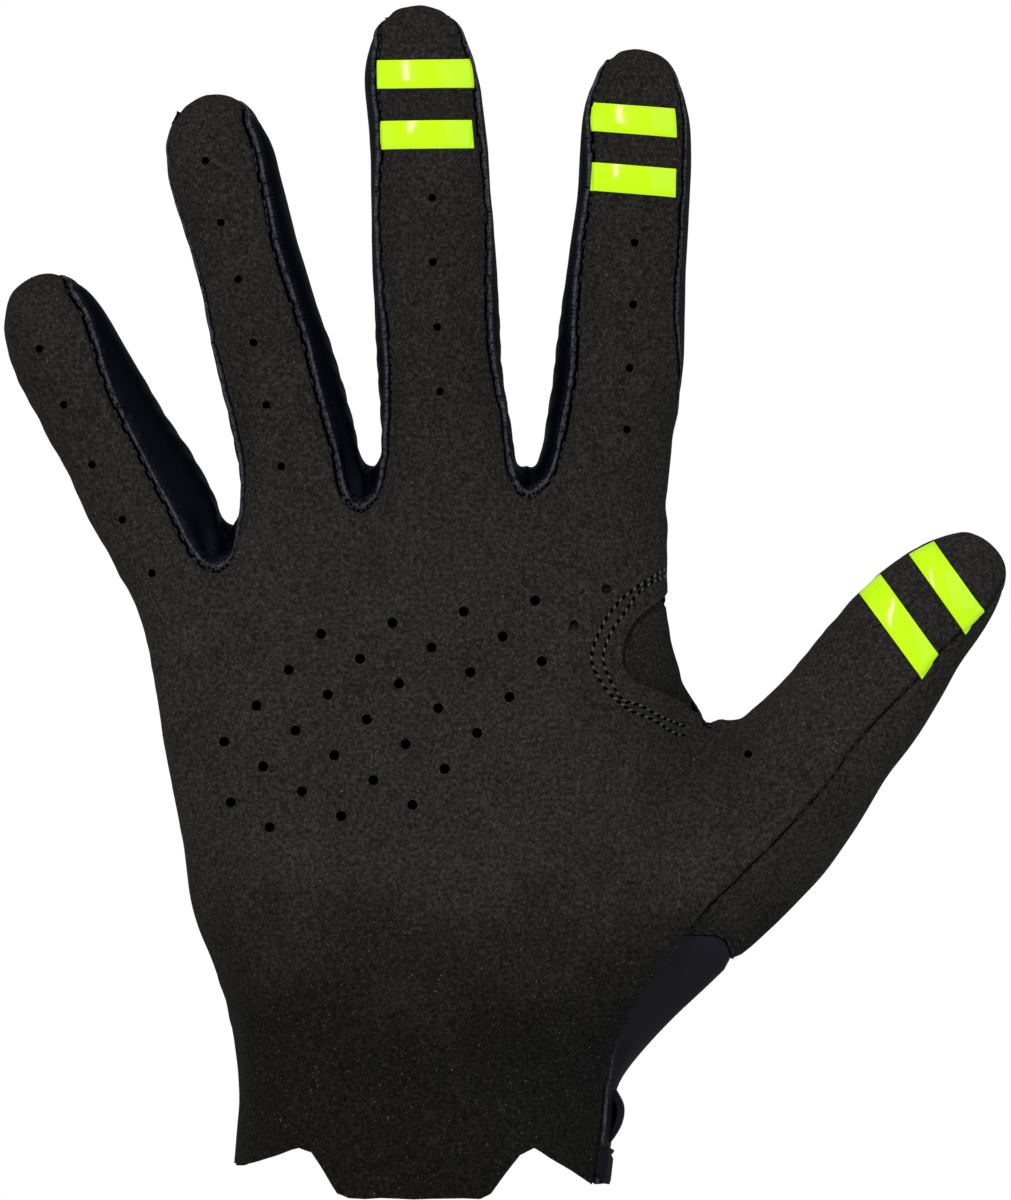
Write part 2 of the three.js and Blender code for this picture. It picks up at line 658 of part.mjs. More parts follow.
// The thumb grows out of the open right ends of the palm rows
function addThumb(rows) {
  const open = rows.slice(CUFF_ROW, CROTCH_ROW + 1);
  const front = open.map((row) => row.front[row.front.length - 1]).reverse();
  const side = rows[CUFF_ROW].side;
  const back = open.map((row) => row.back[0]);
  const root = { front, rest: joinRuns([side, back]) };
  const restCells = root.rest.length - 1;
  const places = fingerPlaces(THUMB);
  const rings = places.map((place) => {
    const seam = seamAngles(THUMB, place, true, false);
    const run = (from, to, count) => spread(from, to, count).map((a) => fingerPoint(THUMB, place, a));
    return {
      front: run(seam.frontLeft, seam.frontRight, front.length - 1),
      rest: run(seam.frontRight, FULL_TURN + seam.frontLeft, restCells),
    };
  });
  const lateral = (run, i) => {
    if (run === 'front') return THUMB_FRONT_LATERAL[i];
    if (i <= WRIST_SIDE_CELLS) return THUMB_SIDE_LATERAL[i];
    return i === restCells ? THUMB_FRONT_LATERAL[0] : 0;
  };
  const outward = (run, i) => {
    const k = run === 'front' ? front.length - 1 - i : i - WRIST_SIDE_CELLS;
    if (k <= 0 || k >= front.length - 1) return null;
    const row = run === 'front' ? open[k].front.slice(-2) : open[k].back.slice(0, 2).reverse();
    return row[1].clone().sub(row[0]).normalize();
  };
  const roots = rootRows(root, rings[0], THUMB, THUMB_ROOT_CELLS, lateral, outward);
  const lower = roots.slice(0, THUMB_ROOT_CELLS / 2 + 1);
  const tip = fingerPoint(THUMB, 1, 0);
  const shaft = [...roots.slice(THUMB_ROOT_CELLS / 2, -1), ...rings];
  addRows(lower.map((row) => row.front), 'palm_panel');
  addRows([...shaft.map((row) => row.front), front.map(() => tip)], 'palm_panel');
  addRows(lower.map((row) => row.rest), 'back_panel');
  addRows([...shaft.map((row) => row.rest), root.rest.map(() => tip)], 'thumb_back_panel');
}

// Edges of a set of faces that only one face uses, in that face's direction
function borderEdges(faces) {
  const edges = new Map();
  for (const { corners } of faces) {
    corners.forEach((a, k) => {
      const b = corners[(k + 1) % 3];
      if (edges.has(`${b} ${a}`)) edges.delete(`${b} ${a}`);
      else edges.set(`${a} ${b}`, [a, b]);
    });
  }
  return [...edges.values()];
}

// Eases the skin round the thumb's root, leaving every seam where it is
function relaxThumbRoot() {
  const neighbours = skin.points.map(() => new Set());
  const panels = skin.points.map(() => new Set());
  for (const { corners, panel: name } of skin.faces) {
    corners.forEach((a, k) => {
      neighbours[a].add(corners[(k + 1) % 3]).add(corners[(k + 2) % 3]);
      panels[a].add(name);
    });
  }
  const free = new Set(borderEdges(skin.faces).flat());
  const centre = new THREE.Vector3(RELAX.x * PALM_WIDTH, 0, RELAX.z * PALM_LENGTH);
  const weights = skin.points.map((point, i) => {
    if (panels[i].size > 1 || free.has(i)) return 0;
    const away = point.clone().setY(0).distanceTo(centre) / (RELAX.reach * PALM_WIDTH);
    return RELAX.strength * Math.exp(-(away ** RELAX.power));
  });
  for (let round = 0; round < RELAX.rounds; round += 1) {
    const moved = skin.points.map((point, i) => {
      if (weights[i] < RELAX.least) return point;
      const mean = new THREE.Vector3();
      for (const k of neighbours[i]) mean.addScaledVector(skin.points[k], 1 / neighbours[i].size);
      return point.clone().lerp(mean, weights[i]);
    });
    skin.points = moved;
  }
}

const hand = addHand();
relaxThumbRoot();

// Outward directions of the skin at its points
function skinNormals() {
  const normals = skin.points.map(() => new THREE.Vector3());
  for (const face of skin.faces) {
    const [a, b, c] = face.corners.map((i) => skin.points[i]);
    const normal = b.clone().sub(a).cross(c.clone().sub(a));
    for (const i of face.corners) normals[i].add(normal);
  }
  return normals.map((n) => n.normalize());
}

const normals = skinNormals();

function solidFrom(points, triangles) {
  const vertProperties = new Float32Array(points.flatMap((p) => [p.x, p.y, p.z]));
  const triVerts = new Uint32Array(triangles.flat());
  return new wasm.Manifold(new wasm.Mesh({ numProp: 3, vertProperties, triVerts }));
}

// Smallest squared sum of two edge directions that a corner's mitre is worked out from
const MITRE_LIMIT = 0.5;

// A panel of the skin as a wall. Its edges draw back by half the gap where another panel meets them.
function panelSolid(faces, outside, wall) {
  const freeEdges = new Set(borderEdges(skin.faces).map((edge) => edge.join(' ')));
  const border = borderEdges(faces);
  const pulls = new Map();
  for (const [a, b] of border) {
    if (freeEdges.has(`${a} ${b}`)) continue;
    const edge = skin.points[b].clone().sub(skin.points[a]).normalize();
    for (const i of [a, b]) {
      const inward = normals[i].clone().cross(edge);
      pulls.set(i, (pulls.get(i) ?? new THREE.Vector3()).add(inward));
    }
  }
  const used = [...new Set(faces.flatMap((face) => face.corners))];
  const numbers = new Map(used.map((i, k) => [i, k]));
  const place = (i, depth) => {
    const point = skin.points[i].clone().addScaledVector(normals[i], -depth);
    const pull = pulls.get(i);
    if (pull) point.addScaledVector(pull, SEAM_GAP / Math.max(MITRE_LIMIT, pull.lengthSq()));
    return point;
  };
  const points = [...used.map((i) => place(i, outside)), ...used.map((i) => place(i, outside + wall))];
  const inner = (i) => numbers.get(i) + used.length;
  const triangles = [];
  for (const { corners: [a, b, c] } of faces) {
    triangles.push([numbers.get(a), numbers.get(b), numbers.get(c)]);
    triangles.push([inner(c), inner(b), inner(a)]);
  }
  for (const [a, b] of border) {
    triangles.push([numbers.get(b), numbers.get(a), inner(a)]);
    triangles.push([numbers.get(b), inner(a), inner(b)]);
  }
  return solidFrom(points, triangles);
}

function panel(name, wall) {
  return panelSolid(skin.faces.filter((face) => face.panel === name), 0, wall);
}

// Meshes

const glove = new THREE.Group();

function addMesh(name, solid, material) {
  const mesh = solid.getMesh();
  const geometry = new THREE.BufferGeometry();
  geometry.setAttribute('position', new THREE.BufferAttribute(mesh.vertProperties, 3));
  geometry.setIndex(new THREE.BufferAttribute(mesh.triVerts, 1));
  geometry.computeVertexNormals();
  const item = new THREE.Mesh(geometry, material);
  item.name = name;
  glove.add(item);
}

const suede = new THREE.MeshStandardMaterial({ color: 0x2b2926, roughness: 0.95, metalness: 0 });
const stretch = new THREE.MeshStandardMaterial({ color: 0x10131e, roughness: 0.5, metalness: 0 });

const silicone = new THREE.MeshStandardMaterial({ color: 0xb4f000, roughness: 0.3, metalness: 0 });

// A closed geometry as a solid, with its shared vertices merged
function solidOf(geometry) {
  const bare = geometry.clone();
  bare.deleteAttribute('normal');
  bare.deleteAttribute('uv');
  const merged = mergeVertices(bare);
  return new wasm.Manifold(new wasm.Mesh({
    numProp: 3,
    vertProperties: merged.attributes.position.array,
    triVerts: new Uint32Array(merged.index.array),
  }));
}

// An outline of x and z standing between two depths
function prism(outline, near, far) {
  const shape = new THREE.Shape(outline.map((p) => new THREE.Vector2(p.x, p.z)));
  const geometry = new THREE.ExtrudeGeometry(shape, { depth: far - near, bevelEnabled: false });
  geometry.rotateX(Math.PI / 2).translate(0, far, 0);
  return solidOf(geometry);
}

const CUT_REACH = 2 * WRIST_DEPTH;

// Everything under a lower edge
function under(edge) {
  const outline = edge.map((p) => ({ x: p.x * WRIST_WIDTH, z: p.z * PALM_LENGTH }));
  outline.push({ x: outline[outline.length - 1].x, z: -PALM_LENGTH });
  outline.push({ x: outline[0].x, z: -PALM_LENGTH });
  return prism(outline, -CUT_REACH, CUT_REACH);
}

function cutout() {
  const outline = CUTOUT.map((p) => ({ x: p.x * PALM_WIDTH, z: p.z * PALM_LENGTH }));
  return prism(outline, -CUT_REACH, CUT_REACH);
}

function holeCutter(x, z, width) {
  const turn = Math.PI / HOLE_SIDES;
  const radius = width / 2;
  const outline = Array.from({ length: HOLE_SIDES }, (_, i) => {
    const angle = turn * (2 * i + 1);
    return { x: x + radius * Math.cos(angle), z: z + radius * Math.sin(angle) };
  });
  return prism(outline, -CUT_REACH, 0);
}

function step(length, direction, count) {
  const angle = radians(direction);
  return { x: count * length * Math.cos(angle), z: count * length * Math.sin(angle) };
}

function palmHoles() {
  return HOLES_IN_ROWS.flatMap((count, row) => Array.from({ length: count }, (_, i) => {
    const down = step(HOLE_STEP_DOWN, HOLE_STEP_DIRECTION, row);
    const across = step(HOLE_STEP_ACROSS, HOLE_ROW_DIRECTION, i);
    const x = FIRST_HOLE.x * PALM_WIDTH + down.x + across.x;
    const z = FIRST_HOLE.z * PALM_LENGTH + down.z + across.z;
    return holeCutter(x, z, PALM_HOLE);
  }));
}

function fingerHoles(finger) {
  const axis = fingerAxis(finger);
  return FINGER_HOLES[finger.name].map((hole) => {
    const spot = new THREE.Vector3(finger.rootX * PALM_WIDTH, 0, finger.rootZ * PALM_LENGTH)
      .addScaledVector(axis.along, hole.at * finger.length)
      .addScaledVector(axis.across, hole.aside * finger.width);
    return holeCutter(spot.x, spot.z, FINGER_HOLE);
  });
}

function cut(solid, cutters) {
  return cutters.reduce((left, cutter) => left.subtract(cutter), solid);
}

function palmPanel() {
  const holes = [...palmHoles(), ...[...FINGERS, THUMB].flatMap(fingerHoles)];
  return cut(panel('palm_panel', SUEDE_WALL), [under(PALM_EDGE), cutout(), ...holes]);
}

// The insert runs under the palm panel round the index side to the back panel
function insertPanel() {
  const above = (rows) => rows.slice(1, UPPER_ROWS + 1);
  const side = (run) => hand.rows.slice(CROTCH_ROW).map((row) => row[run]);
  const front = [...side('front'), ...above(hand.upFront)];
  const back = [...side('back'), ...above(hand.upBack)];
  const rows = front.map((row, i) => [
    ...row.slice(-INSERT_FRONT_COLUMNS - 1),
    ...back[i].slice(1, INSERT_BACK_COLUMNS + 1),
  ]);
  const faces = [];
  for (let k = 0; k + 1 < rows.length; k += 1) {
    for (let i = 0; i + 1 < rows[k].length; i += 1) {
      const [a, b, c, d] = [rows[k][i], rows[k][i + 1], rows[k + 1][i + 1], rows[k + 1][i]].map(skinPoint);
      faces.push({ corners: [a, b, c] }, { corners: [a, c, d] });
    }
  }
  return panelSolid(faces, SUEDE_WALL + SEAM_GAP, INSERT_WALL);
}

// A plate over a grid of points with their outward directions, clear of them by a gap
function plateSolid(rows, clear, thickness) {
  const columns = rows[0].length;
  const level = (height) => rows.flat().map((p) => p.point.clone().addScaledVector(p.normal, height));
  const points = [...level(clear), ...level(clear + thickness)];
  const count = rows.length * columns;
  const faces = [];
  for (let k = 0; k + 1 < rows.length; k += 1) {
    for (let i = 0; i + 1 < columns; i += 1) {
      const a = k * columns + i;
      const b = a + 1;
      const c = b + columns;
      const d = a + columns;
      faces.push({ corners: [a, b, c] }, { corners: [a, c, d] });
    }
  }
  const triangles = [];
  for (const { corners: [a, b, c] } of faces) {
    triangles.push([a + count, b + count, c + count]);
    triangles.push([c, b, a]);
  }
  for (const [a, b] of borderEdges(faces)) {
    triangles.push([b + count, a + count, a]);
    triangles.push([b + count, a, b]);
  }
  return solidFrom(points, triangles);
}

// A stripe bends round the front of a finger from seam to seam, just clear of it
function stripeSolid(stripe) {
  const finger = [...FINGERS, THUMB][stripe.finger];
  const axis = fingerAxis(finger);
  const root = new THREE.Vector3(finger.rootX * PALM_WIDTH, 0, finger.rootZ * PALM_LENGTH);
  const fall = Math.tan(radians(stripe.slant)) / finger.length;
  const seam = seamAngles(finger, stripe.at, true, true);
  const angles = spread(Math.max(seam.frontLeft, STRIPE_TURN), seam.frontRight - STRIPE_EDGE, STRIPE_CELLS);
  const half = STRIPE_WIDTH / 2 / finger.length;
  const rows = [-half, 0, half].map((offset) => angles.map((angle) => {
    const level = fingerPoint(finger, stripe.at + offset, angle);
    const aside = level.clone().sub(root).dot(axis.across);
    const place = stripe.at + offset - aside * fall;
    const point = fingerPoint(finger, place, angle);
    const ahead = fingerPoint(finger, place, angle + 1);
    return { point, normal: ahead.sub(point).cross(axis.along).normalize() };
  }));
  return plateSolid(rows, SEAM_GAP, STRIPE_THICKNESS);
}

// The folded tab of the hem lies on the side of the cuff, just clear of it
function hemTab() {
  const turn = HEM_TAB_WIDTH / (WRIST_DEPTH / 2) * 180 / Math.PI;
  const angles = spread(HEM_TAB_TURN, HEM_TAB_TURN + turn, HEM_TAB_CELLS);
  const [low, high] = PALM_ROWS;
  const lowZ = low.leftZ * PALM_LENGTH;
  const highZ = high.leftZ * PALM_LENGTH;
  const foot = BACK_EDGE[BACK_EDGE.length - 1].z * PALM_LENGTH + SEAM_GAP;
  const rows = [foot, foot + HEM_TAB_HEIGHT / 2, foot + HEM_TAB_HEIGHT].map((z) => angles.map((angle) => {
    const share = (z - lowZ) / (highZ - lowZ);
    const point = palmPoint(low, angle).lerp(palmPoint(high, angle), share);
    const ahead = palmPoint(low, angle + 1).lerp(palmPoint(high, angle + 1), share);
    return { point, normal: ahead.sub(point).cross(new THREE.Vector3(0, 0, 1)).normalize() };
  }));
  return plateSolid(rows, SEAM_GAP, HEM_TAB_THICKNESS);
}

addMesh('palm_panel', palmPanel(), suede);
addMesh('back_panel', cut(panel('back_panel', STRETCH_WALL), [under(BACK_EDGE)]), stretch);
addMesh('thumb_back_panel', panel('thumb_back_panel', SUEDE_WALL), suede);
addMesh('thumb_crotch_insert', insertPanel(), suede);
for (const name of FOURCHETTES) addMesh(name, panel(name, STRETCH_WALL), stretch);
for (const stripe of STRIPES) addMesh(stripe.name, stripeSolid(stripe), silicone);
addMesh('hem_tab', hemTab(), stretch);

export default glove;
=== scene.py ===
"""Full-finger cycling glove for a right hand, with the palm towards the camera and the fingertips up."""
import math

import bpy
import numpy as np
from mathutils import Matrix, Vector, kdtree, noise
from mathutils.bvhtree import BVHTree


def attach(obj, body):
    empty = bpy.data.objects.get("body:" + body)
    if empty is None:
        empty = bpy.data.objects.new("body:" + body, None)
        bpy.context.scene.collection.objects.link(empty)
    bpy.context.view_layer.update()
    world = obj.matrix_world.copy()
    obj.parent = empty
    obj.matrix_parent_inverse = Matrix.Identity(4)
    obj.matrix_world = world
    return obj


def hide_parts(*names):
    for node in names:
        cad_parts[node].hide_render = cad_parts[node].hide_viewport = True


bl_info = {
    "name": "Cycling glove",
    "version": (1, 0, 0),
    "blender": (4, 5, 0),
    "location": "3D View > Sidebar > Glove",
    "description": "Builds the cloth panels, grips and stitching of a full-finger cycling glove",
    "category": "Object",
}

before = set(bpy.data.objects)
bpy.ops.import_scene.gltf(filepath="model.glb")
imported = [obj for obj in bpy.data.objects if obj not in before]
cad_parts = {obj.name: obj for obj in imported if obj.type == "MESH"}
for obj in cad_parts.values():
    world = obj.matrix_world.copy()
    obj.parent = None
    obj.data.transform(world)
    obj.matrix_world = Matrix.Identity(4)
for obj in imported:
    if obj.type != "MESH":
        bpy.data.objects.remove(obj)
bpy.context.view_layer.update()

# Millimetres in a metre
MM = 1000

# Squareness of every section, and where a fingertip starts to close
SECTION_POWER = 2.3
TIP_START = 0.8
SHAFT_END = 0.83
TIP_POWER = 2.2
STRIP_TURN = 0.93
STRIP_END = 0.985
ROOT_PLACE = 0.06
FINGER_CURL = 3

# Counts of the control grid
FRONT_CELLS = 6
SIDE_CELLS = 4
BACK_CELLS = 5
ROOT_CELLS = 3
SHAFT_CELLS = 6
TIP_ROWS = (0.89, 0.93, 0.96, STRIP_END)
THUMB_ROOT_CELLS = 4
WRIST_SIDE_CELLS = 4
RUN_STEPS = 120
SMOOTH_LEVELS = 3
FIT_ROUNDS = 4

PALM, BACK, THUMB_BACK, LITTLE_RING, RING_MIDDLE, MIDDLE_INDEX = range(6)
FOURCHETTES = (LITTLE_RING, RING_MIDDLE, MIDDLE_INDEX)
SUEDE_PANELS = (PALM, THUMB_BACK)
# Added to a face's panel number where the insert runs under it
INSERT_MARK = 10

# Columns: share of the length; reach to the left and right as shares of the width; thickness as a share
# of the depth; left and right palm seam in degrees from the front
SECTION_COLUMNS = ("at", "left", "right", "thick", "seam_left", "seam_right")
LITTLE_SECTIONS = (
    (0.15, 0.45, 0.60, 1.00, -100, 9),
    (0.30, 0.51, 0.56, 0.98, -100, 9),
    (0.45, 0.515, 0.49, 0.96, -100, 11),
    (0.60, 0.55, 0.43, 0.94, -100, 15),
    (0.75, 0.58, 0.385, 0.88, -100, 26),
    (0.90, 0.55, 0.34, 0.80, -98, 38),
    (1.00, 0.54, 0.32, 0.76, -95, 45),
)
RING_SECTIONS = (
    (0.15, 0.40, 0.69, 1.00, -62, 31),
    (0.30, 0.395, 0.64, 0.98, -65, 28),
    (0.45, 0.42, 0.585, 0.96, -66, 32),
    (0.60, 0.41, 0.51, 0.94, -68, 30),
    (0.75, 0.45, 0.478, 0.88, -80, 32),
    (0.90, 0.50, 0.465, 0.80, -84, 40),
    (1.00, 0.50, 0.46, 0.76, -86, 50),
)
MIDDLE_SECTIONS = (
    (0.15, 0.47, 0.61, 1.00, -64, 64),
    (0.30, 0.464, 0.544, 0.98, -52, 54),
    (0.45, 0.468, 0.557, 0.96, -58, 49),
    (0.60, 0.457, 0.519, 0.94, -62, 64),
    (0.75, 0.453, 0.507, 0.88, -51, 58),
    (0.90, 0.505, 0.471, 0.80, -50, 63),
    (1.00, 0.50, 0.47, 0.76, -60, 66),
)
INDEX_SECTIONS = (
    (0.15, 0.543, 0.498, 1.00, -42, 97),
    (0.30, 0.508, 0.568, 0.98, -38, 70),
    (0.45, 0.465, 0.546, 0.96, -48, 53),
    (0.60, 0.443, 0.531, 0.94, -50, 54),
    (0.75, 0.442, 0.50, 0.88, -44, 56),
    (0.90, 0.447, 0.447, 0.80, -62, 64),
    (1.00, 0.44, 0.44, 0.76, -66, 68),
)
THUMB_SECTIONS = (
    (0.30, 0.453, 0.673, 1.10, -100, 18),
    (0.45, 0.421, 0.602, 1.02, -100, 18),
    (0.60, 0.438, 0.555, 1.00, -100, 24),
    (0.75, 0.434, 0.469, 0.92, -100, 37),
    (0.90, 0.36, 0.416, 0.80, -98, 54),
    (1.00, 0.35, 0.40, 0.76, -95, 66),
)
# Columns: length, width and depth in mm; lean in degrees; root as shares of the palm width and length;
# share of the length where the plain tube starts; angle of the back seams; rise to the palm side in mm
FINGER_COLUMNS = (
    "length", "width", "depth", "lean", "root_x", "root_z", "start", "back", "advance", "sections",
)
FINGER_TABLE = (
    (63.1, 20, 17, -24.2, -0.459, 0.875, 0.24, 125, 0, LITTLE_SECTIONS),
    (79.9, 20.3, 18.5, -11.5, -0.243, 0.968, 0.20, 120, 0, RING_SECTIONS),
    (90.8, 21.5, 19.5, -2.6, 0.036, 0.999, 0.20, 120, 0, MIDDLE_SECTIONS),
    (83.2, 21.2, 19, 4.6, 0.350, 0.999, 0.19, 120, 0, INDEX_SECTIONS),
    (75.6, 24.2, 21, 42.1, 0.541, 0.469, 0.32, 260, 4, THUMB_SECTIONS),
)

# Columns: lowest point of the palm seam, then the deepest point of the web seen from the front
CROTCHES = (
    (-0.563, 0.867, -0.563, 0.867),
    (-0.410, 0.917, -0.367, 0.989),
    (-0.126, 1.012, -0.100, 1.084),
    (0.208, 1.035, 0.208, 1.078),
    (0.4706, 1.015, 0.4706, 1.015),
)
CROTCH_FRONT = -0.28
CROTCH_BACK = 0.28
CROTCH_BACK_DROP = 0.05
OUTER_SEAM = 0.05

# Columns: left and right end of the row as shares of the local width and the palm length; angle of the
# palm panel's right edge; half the depth and the middle as shares of the local depth
ROW_COLUMNS = ("left_x", "left_z", "right_x", "right_z", "turn", "half", "middle")
PALM_ROWS = (
    (-0.511, -0.066, 0.442, -0.066, 68, 0.50, 0.00),
    (-0.487, 0.047, 0.466, 0.047, 68, 0.50, 0.00),
    (-0.485, 0.117, 0.485, 0.117, 68, 0.50, 0.00),
    (-0.488, 0.194, 0.520, 0.194, 56, 0.51, -0.01),
    (-0.491, 0.266, 0.540, 0.273, 44, 0.53, -0.02),
    (-0.495, 0.333, 0.554, 0.362, 38, 0.55, -0.03),
    (-0.499, 0.401, 0.546, 0.465, 46, 0.55, -0.03),
    (-0.491, 0.472, 0.548, 0.562, 62, 0.54, -0.02),
    (-0.489, 0.543, 0.555, 0.667, 97, 0.52, -0.01),
    (-0.498, 0.606, 0.510, 0.742, 97, 0.50, 0.00),
    (-0.516, 0.687, 0.486, 0.812, 97, 0.48, 0.00),
)
LEFT_TURN = -100
CUFF_ROW = 2
CROTCH_ROW = 8
UPPER_ROWS = 2
WRIST_FADE = (0.1, 0.6)
FRONT_BORDERS = (0, 0.2, 0.45, 0.725, 1)
BACK_BORDERS = (0, 0.27, 0.53, 0.78, 1)
INSERT_FRONT_COLUMNS = 6
INSERT_BACK_COLUMNS = 2

# Columns: place and reach as shares of the palm width and length, rise as a share of the palm depth
PALM_FORMS = (
    (0.42, 0.46, 0.26, 0.24, 0.16),
    (-0.36, 0.36, 0.20, 0.28, 0.07),
    (-0.02, 0.48, 0.22, 0.26, -0.09),
    (-0.05, 0.88, 0.42, 0.10, 0.05),
    (0.53, 0.66, 0.14, 0.11, -0.16),
)
SEAM_LATERAL = 0.7
BACK_LATERAL = 0.3
THUMB_FRONT_LATERAL = (0.35, 0, 0, 0, 0, -0.25, -0.5)
THUMB_SIDE_LATERAL = (-0.5, -0.1, 0.3, 0.3, 0)
RELAX = {"x": 0.54, "z": 0.5, "reach": 0.3, "strength": 0.6, "rounds": 6}

# Lower edges of the palm and of the back as shares of the wrist width and the palm length
PALM_EDGE = (
    (-0.80, -0.006), (-0.516, -0.006), (-0.466, -0.005), (-0.327, 0.022), (-0.295, 0.016),
    (-0.227, -0.048), (-0.198, -0.056), (0.148, -0.056), (0.177, -0.047), (0.253, 0.012),
    (0.290, 0.022), (0.443, -0.036), (0.80, -0.036),
)
BACK_EDGE = ((-0.80, -0.010), (-0.47, -0.010), (-0.34, 0.027), (0.29, 0.027), (0.45, -0.036), (0.80, -0.036))
# Half-lens cutout and the two rows of stitches round it, as shares of the palm width and length
CUTOUT = (
    (0.600, 0.905), (0.500, 0.905), (0.470, 0.878), (0.421, 0.848), (0.395, 0.815), (0.389, 0.779),
    (0.405, 0.753), (0.449, 0.736), (0.507, 0.715), (0.530, 0.700), (0.600, 0.690),
)
OUTER_ARC = (
    (0.4726, 0.9230), (0.4157, 0.8933), (0.3745, 0.8652), (0.3431, 0.8246), (0.3275, 0.7840),
    (0.3431, 0.7512), (0.3686, 0.7246), (0.4039, 0.7028), (0.4490, 0.6871), (0.4902, 0.6668),
    (0.5079, 0.6637),
)
INNER_ARC = (
    (0.4726, 0.9120), (0.4275, 0.8917), (0.3922, 0.8543), (0.3667, 0.8246), (0.3510, 0.7887),
    (0.3608, 0.7559), (0.3882, 0.7199), (0.4216, 0.7106), (0.4608, 0.6934), (0.5079, 0.6778),
)

# Rows of holes in the palm, each starting one step down and to the left of the one above
FIRST_HOLE = (0.357, 0.891)
HOLES_IN_ROWS = (5, 5, 5, 5, 4, 4, 3)
HOLE_ROW_DIRECTION = 188.9
HOLE_STEP_DIRECTION = 228
HOLE_SIDES = 24
# Holes along each finger: share of its length and share of its width from its axis
FINGER_HOLES = (
    ((0.81, -0.30), (0.64, -0.305), (0.455, -0.295), (0.28, -0.25), (0.11, -0.205)),
    ((0.86, -0.145), (0.72, -0.12), (0.59, -0.07), (0.446, -0.052), (0.306, -0.05), (0.167, -0.03)),
    ((0.625, 0.036), (0.50, 0.02), (0.374, 0.03), (0.249, 0.03)),
    ((0.59, 0.08), (0.46, 0.11), (0.325, 0.12), (0.195, 0.14)),
    ((0.258, -0.26),),
)
# Columns: name, finger, place along it, slant across it, left and right end round it in degrees
STRIPES = (
    ("middle_stripe_upper", 2, 0.8655, 2, -46, 60),
    ("middle_stripe_lower", 2, 0.748, 2, -49, 46),
    ("index_stripe_upper", 3, 0.849, 0, -51, 44),
    ("index_stripe_lower", 3, 0.723, 0, -46, 43),
    ("thumb_stripe_upper", 4, 0.86, 12.3, -74, 44),
    ("thumb_stripe_lower", 4, 0.712, 12.3, -74, 31),
)
# The hem tab: its turns round the wrist in degrees, and its lower and upper end in mm
HEM_TAB = (73, 86, -4.1, 1.7)
# The strap over the wrist seam, in mm from its upper to its lower end
LOOP = ((32.3, 14.0), (33.4, 11.9), (34.4, 10.0), (34.6, 8.4), (34.2, 6.6), (33.3, 4.9), (32.2, 3.4))
LOOP_DEPTH = 6.5
LOOP_INSIDE = 29.5
# Loose fibres on the palm. Columns: both ends in mm, and a bend
LINT = (
    (-9.2, 72.3, -9.5, 69.4, 0.2), (-4.4, 80.8, -3.6, 80.1, 0.15), (-4.0, 80.2, -3.4, 80.6, -0.1),
    (-17.9, 90.7, -17.6, 90.3, 0.05), (44.8, 51.2, 45.4, 48.2, -0.25), (54.3, 58.2, 54.5, 57.9, 0.05),
    (23.0, 86.8, 23.4, 86.3, 0.05),
)

# Soft folds of the palm side. Columns: both ends as shares of the palm width and length,
# half width in mm, depth in mm, where a negative depth is a ridge
PALM_FOLDS = (
    (0.575, 0.655, 0.50, 0.585, 2.6, 0.75),
    (0.500, 0.640, 0.535, 0.560, 3.2, -0.45),
    (0.640, 0.610, 0.585, 0.475, 4.2, 0.80),
    (0.585, 0.475, 0.500, 0.330, 5.0, 0.70),
    (0.560, 0.600, 0.500, 0.450, 4.2, -0.55),
    (0.700, 0.620, 0.640, 0.480, 4.0, -0.45),
    (0.110, 0.310, 0.420, 0.350, 4.5, 0.60),
    (0.060, 0.270, 0.400, 0.300, 4.5, -0.40),
    (0.420, 0.350, 0.470, 0.440, 4.5, 0.50),
    (-0.260, 0.130, 0.160, 0.100, 5.5, 0.50),
    (-0.300, 0.190, 0.120, 0.165, 5.0, -0.35),
    (0.150, 0.160, 0.330, 0.110, 4.5, 0.45),
    (-0.420, 0.560, -0.300, 0.450, 5.0, 0.35),
    (-0.180, 0.905, 0.020, 0.930, 4.0, 0.30),
    (0.230, 0.985, 0.420, 0.960, 3.4, 0.35),
)

# Easing of the outline. Columns: x and z of the middle, reach, shift in x and z, all in mm
OUTLINE_SHIFTS = (
    (73.5, 49.0, 11.0, 3.1, -2.1),
    (55.0, 33.0, 9.0, -1.3, 1.9),
    (44.0, 23.0, 10.0, -2.2, 2.6),
    (46.0, 86.0, 7.0, 0.4, 0.2),
    (42.5, 106.0, 8.0, 0.7, 0.0),
    (50.5, 75.6, 4.5, 0.0, 2.2),
    (92.0, 93.0, 6.0, -0.5, 0.3),
    (-33.6, 0.0, 5.0, -0.9, 0.0),
)
# Columns: lean of the gap between two fingers in degrees; spread and shift of the seam at its bottom,
# then spread and shift of the web behind it, in mm
CROTCH_SPREADS = ((-18, 0.8, 0.8, 1.4, 0.0), (-7, 0.8, 0.3, 1.1, -0.1), (1, 0.7, -0.3, 1.1, -0.8))
SPREAD_TURN = 0.6
# Reach of the spread over, under and beside the bottom of a gap
SPREAD_ABOVE = 5.0
SPREAD_BELOW = 1.3
SPREAD_ASIDE = 7
# Depths between which the spread of the seam passes into that of the web
SPREAD_DEPTHS = (-6.0, -2.0)

# Spots on each seam edge that distances are measured to
SEAM_SPOTS = 4
# Distances from a seam in mm: still on it, and where swells and folds reach their full height
ON_SEAM = 0.02
SWELL_CLEAR = 5
FOLD_CLEAR = 3
# Uneven swells of the filled cloth. Columns: width and height in mm
SWELLS = ((17, 0.5), (7.5, 0.16))
# Depth of a fold at its ends as a share, and how far the skin has to face the front to be folded
FOLD_END = 0.35
FOLD_FACING = (-0.1, 0.5)

# Radius of the bottom of a gap in mm, and how many gathers fan out round it in a full turn
GAP_RADIUS = 2.4
GATHERS_ROUND = 15
